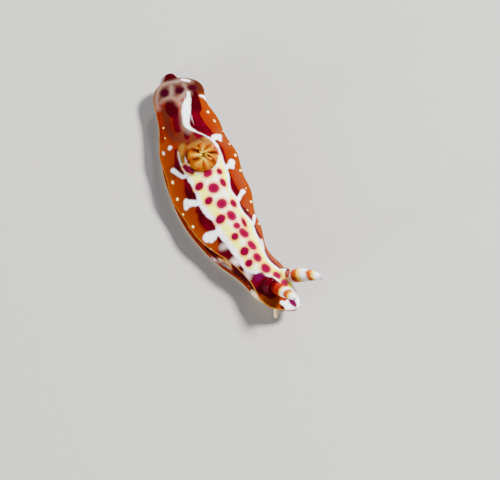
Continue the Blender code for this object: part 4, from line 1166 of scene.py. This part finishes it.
ringed_club = club_tree()
looks = [banded_look("left_feeler", LEFT_BANDS, 0.9), banded_look("right_feeler", RIGHT_BANDS, 0.0)]
rhinophores = []
for side, name, look in zip((1.0, -1.0), ("rhinophore_left_leaves", "rhinophore_right_leaves"), looks):
    sizes = {"Length": RHINOPHORE_LENGTH, "Radius": RHINOPHORE_RADIUS, "Leaves": LEAVES, "Material": look}
    club = grown(name, ringed_club, sizes)
    root, along, forward, aside = rhinophore_axes(side)
    local = points_of(club.data)
    shares = local[:, 2] / RHINOPHORE_LENGTH
    add_values(club.data, "share", shares)
    over_front = (local[:, 0] / RHINOPHORE_RADIUS - RED_SPOT["front"]) / RED_SPOT["half_front"]
    over_length = (shares - RED_SPOT["along"]) / RED_SPOT["half_along"]
    add_values(club.data, "spot", np.hypot(over_length, over_front))
    base = root + along * (SHEATH_HEIGHT - CLUB_SUNK)
    stretch = (RHINOPHORE_LENGTH + CLUB_EXTRA) / RHINOPHORE_LENGTH
    made = base + local[:, :1] * forward + local[:, 1:2] * aside + local[:, 2:] * stretch * along
    pose(club, made)
    rhinophores.append(club)
    print(name, len(club.data.polygons), "faces")

# %% [markdown]
# ## The gill
# The gill is a ring of feathery leaves round the vent. Each leaf is a cream rib that
# rises outwards and curls in over the middle, with thin orange leaflets down both
# sides. Ribs are paths, and leaflets repeat along them, so a tree turns each path into
# a tapered rib and sets leaflets on it, larger in the middle of the leaf.

# %% Rib paths
GILL_LEAVES = 8
GILL_LEAF_HEIGHT = 1.5
LEAFLET_LENGTH = 0.66


def rib_paths():
    """A mesh of edges: one path for each leaf, with the way out stored on its points."""
    points, edges, outwards = [], [], []
    for number in range(GILL_LEAVES):
        angle = 2 * math.pi * (number + 0.5 + 0.17 * math.sin(number * 5.1)) / GILL_LEAVES
        tall = 1 + 0.10 * math.sin(number * 2.4)
        out = np.array([math.cos(angle), math.sin(angle), 0.0])
        aside = np.array([-math.sin(angle), math.cos(angle), 0.0])
        share = np.linspace(0.0, 1.0, 24)
        twist = 0.42 * math.sin(number * 1.9 + 0.6) * share**2
        height = GILL_LEAF_HEIGHT * tall * np.sin(share * np.pi * 0.57) ** 0.8
        reach = 0.80 + 0.72 * np.sin(np.pi * share**0.85) ** 0.9 - 0.62 * share**2
        start = len(points)
        for h, r, bent in zip(height, reach, twist):
            points.append(out * r + aside * bent + (0.0, 0.0, h))
            outwards.append(out)
        edges.extend((start + i, start + i + 1) for i in range(len(share) - 1))
    mesh = bpy.data.meshes.new("rib_paths")
    mesh.from_pydata([tuple(point) for point in points], edges, [])
    layer = mesh.attributes.new("outward", "FLOAT_VECTOR", "POINT")
    layer.data.foreach_set("vector", np.array(outwards, dtype=np.float32).ravel())
    return mesh


print("gill leaves:", GILL_LEAVES)

# %% A tree that feathers each rib
RIB_SIZES = ((0.0, 1.0), (0.4, 0.9), (0.8, 0.6), (1.0, 0.15))
LEAFLET_SIZES = ((0.0, 0.35), (0.2, 0.85), (0.45, 1.0), (0.75, 0.80), (0.92, 0.42), (1.0, 0.1))


def scaled(tree, value, factor):
    inputs = {0: value, "Scale": factor}
    return shader_node(tree, "ShaderNodeVectorMath", inputs, operation="SCALE").outputs[0]


def sum_of(tree, a, b):
    return shader_node(tree, "ShaderNodeVectorMath", {0: a, 1: b}, operation="ADD").outputs[0]


def stored(tree, geometry, name, value):
    inputs = {"Geometry": geometry, "Name": name, "Value": value}
    return shader_node(tree, "GeometryNodeStoreNamedAttribute", inputs).outputs[0]


def named(tree, name, kind="FLOAT"):
    return shader_node(tree, "GeometryNodeInputNamedAttribute", {"Name": name}, data_type=kind).outputs[0]


def plume_tree():
    tree, given, result = group_tree("feathered_gill", (
        ("Rib radius", "Float", 0.045), ("Leaflets", "Int", 40), ("Leaflet length", "Float", 0.5),
        ("Leaflet width", "Float", 0.042), ("Leaflet thickness", "Float", 0.06), ("Seed", "Int", 4),
        ("Material", "Material", None),
    ))
    ribs = shader_node(tree, "GeometryNodeMeshToCurve", {"Mesh": given["Geometry"]})
    along = shader_node(tree, "GeometryNodeSplineParameter").outputs[0]
    tapering = size_curve(tree, along, RIB_SIZES)
    ring = shader_node(tree, "GeometryNodeCurvePrimitiveCircle", {"Resolution": 8, "Radius": 1.0})
    rib = shader_node(tree, "GeometryNodeCurveToMesh", {
        "Curve": ribs.outputs[0], "Profile Curve": ring.outputs[0],
        "Scale": maths(tree, "MULTIPLY", tapering, given["Rib radius"]), "Fill Caps": True,
    })
    marked = stored(tree, ribs.outputs[0], "share", along)
    dotted = shader_node(tree, "GeometryNodeCurveToPoints", {"Curve": marked, "Count": given["Leaflets"]})
    share, outward = named(tree, "share"), named(tree, "outward", "FLOAT_VECTOR")
    tangent = dotted.outputs["Tangent"]
    sideways = shader_node(tree, "ShaderNodeVectorMath", {0: tangent, 1: outward}, operation="CROSS_PRODUCT")
    lengths = size_curve(tree, share, LEAFLET_SIZES)
    ball_mesh = shader_node(tree, "GeometryNodeMeshUVSphere", {"Segments": 8, "Rings": 6, "Radius": 1.0})
    inputs = {"Geometry": ball_mesh.outputs[0], "Translation": (0.0, 0.0, 1.0)}
    leaflet = shader_node(tree, "GeometryNodeTransform", inputs).outputs[0]
    here = shader_node(tree, "GeometryNodeInputPosition").outputs[0]
    height = shader_node(tree, "ShaderNodeSeparateXYZ", {0: here}).outputs[2]
    leaflet = stored(tree, leaflet, "away", maths(tree, "MULTIPLY", height, 0.5))
    parts = [stored(tree, rib.outputs[0], "rib", 1.0)]
    for number, sign in enumerate((1.0, -1.0)):
        way = sum_of(tree, scaled(tree, sideways.outputs[0], sign), scaled(tree, tangent, 0.35))
        way = sum_of(tree, way, scaled(tree, outward, -0.12))
        turn = shader_node(tree, "FunctionNodeAlignRotationToVector", {"Vector": way}, axis="Z")
        turn = shader_node(tree, "FunctionNodeAlignRotationToVector", {
            "Rotation": turn.outputs[0], "Vector": outward,
        }, axis="X", pivot_axis="Z")
        seed = maths(tree, "ADD", given["Seed"], float(number))
        random = shader_node(tree, "FunctionNodeRandomValue", {2: 0.88, 3: 1.08, "Seed": seed})
        long = maths(tree, "MULTIPLY", lengths, given["Leaflet length"])
        half = maths(tree, "MULTIPLY", maths(tree, "MULTIPLY", long, random.outputs[1]), 0.5)
        scale = vector(tree, given["Leaflet thickness"], given["Leaflet width"], half)
        made = shader_node(tree, "GeometryNodeInstanceOnPoints", {
            "Points": dotted.outputs[0], "Instance": leaflet, "Rotation": turn.outputs[0], "Scale": scale,
        })
        parts.append(made.outputs[0])
    finished(tree, parts, given["Material"], result)
    return tree


print("sizes along a rib:", len(RIB_SIZES), "and of its leaflets:", len(LEAFLET_SIZES))

# %% Colour, grow and place the gill
GILL_AMBER = (0.29, 0.09, 0.0)
GILL_PAINTED_SHADE = (0.20, 0.024, 0.0)
GILL_CREAM = (0.56, 0.28, 0.004)
RIB_CREAM = (0.74, 0.50, 0.04)


def gill_look():
    made, tree, shader = wet_material("feathery_gill", coat=0.2, scatter=0.10, bump_mm=0.006)
    share, away = attribute(tree, "share"), attribute(tree, "away")
    cloud = maths(tree, "MULTIPLY", noise(tree, 0.5), 0.5)
    # Painted shade: the leaflets darken from amber towards their outer ends.
    edge = soft_mask(tree, maths(tree, "ADD", away, cloud), 0.30, 0.90)
    colour = over(tree, edge, GILL_PAINTED_SHADE, GILL_AMBER)
    pale = maths(tree, "ADD", share, maths(tree, "MULTIPLY", maths(tree, "ADD", cloud, away), -0.3))
    colour = over(tree, soft_mask(tree, pale, 0.44, 0.78), GILL_CREAM, colour)
    on_rib = soft_mask(tree, attribute(tree, "rib"), 0.3, 0.7)
    rib = maths(tree, "MULTIPLY", on_rib, soft_mask(tree, share, 0.1, 0.5))
    tips = soft_mask(tree, share, 0.68, 0.92)
    colour = over(tree, maths(tree, "MAXIMUM", rib, tips), RIB_CREAM, colour)
    tree.links.new(colour, shader.inputs["Base Color"])
    return made


LEAFLETS = 40
GILL_STRETCH = (1.08, 1.0, 1.0)
GILL_SHIFT = (-0.08, -0.12, 0.25)
sizes = {"Leaflets": LEAFLETS, "Leaflet length": LEAFLET_LENGTH, "Material": gill_look()}
gill = grown("gill_leaves", plume_tree(), sizes, rib_paths())
gill_floor = float(plain_back(0.0, GILL_AT)) - POCKET_DEPTH
local = points_of(gill.data)
gill_root = (GILL_SHIFT[0], GILL_AT + GILL_SHIFT[1], gill_floor + GILL_SHIFT[2])
pose(gill, local * GILL_STRETCH + gill_root)
print("gill:", len(gill.data.polygons), "faces")

# %% [markdown]
# ## Tell the frame what stands for what
# The skin stands for every node of flesh, and the leaves for the three ringed or
# feathered ones. The slug is a still model, so everything rides on its one body.

# %% Ride and replace the solids
LENGTHS = ("front", "middle", "rear")
FLESH = [f"{part}_{length}" for part in ("mantle", "trunk", "foot") for length in LENGTHS]
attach(skin, "root")
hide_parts(*FLESH, "tail", "head", "oral_tentacle_left", "oral_tentacle_right")
for club, name in zip(rhinophores, ("rhinophore_left", "rhinophore_right")):
    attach(club, "root")
    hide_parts(name)
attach(gill, "root")
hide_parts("gill")
print("pieces:", 2 + len(rhinophores))

# %% [markdown]
# ## Floor, light and camera
# A pale floor and an even pale surround keep the shadows soft. Three small lamps about
# half a metre away add the crisp highlights of wet skin, the brightest from the upper
# right of the picture. The camera looks steeply down from over the right front quarter
# of the animal, turned a little about its own axis. Its values come from another
# program's least-squares fit of outline and marks to points read off the photograph.

# %% Floor
FLOOR_REACH = 1.5
FLOOR_GREY = (0.34, 0.335, 0.325, 1)
FLOOR_ROUGHNESS = 0.8

corners = [(x * FLOOR_REACH, y * FLOOR_REACH, 0) for x, y in ((-1, -1), (1, -1), (1, 1), (-1, 1))]
floor_mesh = bpy.data.meshes.new("floor")
floor_mesh.from_pydata(corners, [], [(0, 1, 2, 3)])
floor = bpy.data.objects.new("floor", floor_mesh)
bpy.context.scene.collection.objects.link(floor)
floor_look = bpy.data.materials.new("pale_floor")
floor_look.use_nodes = True
floor_shader = floor_look.node_tree.nodes["Principled BSDF"]
floor_shader.inputs["Base Color"].default_value = FLOOR_GREY
floor_shader.inputs["Roughness"].default_value = FLOOR_ROUGHNESS
floor_mesh.materials.append(floor_look)
print("floor, m across:", 2 * FLOOR_REACH)

# %% Which way the picture's right, up and back lie
CAMERA_AZIMUTH = math.radians(-41.805)
CAMERA_ELEVATION = math.radians(68.607)
CAMERA_ROLL = math.radians(13.701)
CAMERA_DISTANCE = 330.0
PICTURE_SIZE = (500, 480)
PIXELS_PER_MM = 9.694
BODY_CENTRE_PIXEL = (210.362, 203.345)

back = np.array([
    math.sin(CAMERA_AZIMUTH) * math.cos(CAMERA_ELEVATION),
    -math.cos(CAMERA_AZIMUTH) * math.cos(CAMERA_ELEVATION),
    math.sin(CAMERA_ELEVATION),
])
level = np.array([math.cos(CAMERA_AZIMUTH), math.sin(CAMERA_AZIMUTH), 0.0])
upright = np.cross(back, level)
right = math.cos(CAMERA_ROLL) * level + math.sin(CAMERA_ROLL) * upright
up = -math.sin(CAMERA_ROLL) * level + math.cos(CAMERA_ROLL) * upright


print("way back to the camera:", back.round(3).tolist())

# %% Lamps and surround
WORLD_COLOUR = (0.9, 0.93, 1.0, 1)
WORLD_STRENGTH = 0.35
LAMPS = (
    ("key", (0.8, 0.6, 0.85), 0.5, 0.09, 9.8, (1.0, 0.98, 0.95)),
    ("fill", (-1.0, -0.6, 0.7), 0.6, 0.1, 5.0, (0.95, 0.97, 1.0)),
    ("rim", (0.2, 1.0, 0.35), 0.5, 0.05, 0.7, (1.0, 1.0, 1.0)),
)


def light(name, way, distance, size, power, colour):
    """An area light that shines on the slug from a way given as right, up and back."""
    lamp = bpy.data.lights.new(name, "AREA")
    lamp.size = size
    lamp.energy = power
    lamp.color = colour
    made = bpy.data.objects.new(name, lamp)
    bpy.context.scene.collection.objects.link(made)
    way = way[0] * right + way[1] * up + way[2] * back
    way /= np.linalg.norm(way)
    made.location = way * distance
    made.rotation_mode = "QUATERNION"
    made.rotation_quaternion = Vector(way).to_track_quat("Z", "Y")


for lamp_values in LAMPS:
    light(*lamp_values)
world = bpy.data.worlds.new("studio")
world.use_nodes = True
world.node_tree.nodes["Background"].inputs[0].default_value = WORLD_COLOUR
world.node_tree.nodes["Background"].inputs[1].default_value = WORLD_STRENGTH
bpy.context.scene.world = world
print("lights:", [lamp.name for lamp in bpy.data.lights])

# %% Camera at the photograph's angle
SENSOR_WIDTH = 36.0
off_right, off_down = np.array(PICTURE_SIZE) / 2 - BODY_CENTRE_PIXEL
centre = (off_right * right - off_down * up) / PIXELS_PER_MM
camera = bpy.data.objects.new("camera", bpy.data.cameras.new("camera"))
bpy.context.scene.collection.objects.link(camera)
camera.data.sensor_width = SENSOR_WIDTH
camera.data.lens = PIXELS_PER_MM * CAMERA_DISTANCE * SENSOR_WIDTH / PICTURE_SIZE[0]
camera.data.clip_start = 0.01
camera.data.clip_end = 10.0
matrix = np.eye(4)
matrix[:3, :3] = np.column_stack([right, up, back])
matrix[:3, 3] = (moved + centre + back * CAMERA_DISTANCE) * MM
camera.matrix_world = Matrix(matrix.tolist())
bpy.context.scene.camera = camera
print("lens, mm:", round(camera.data.lens, 1))
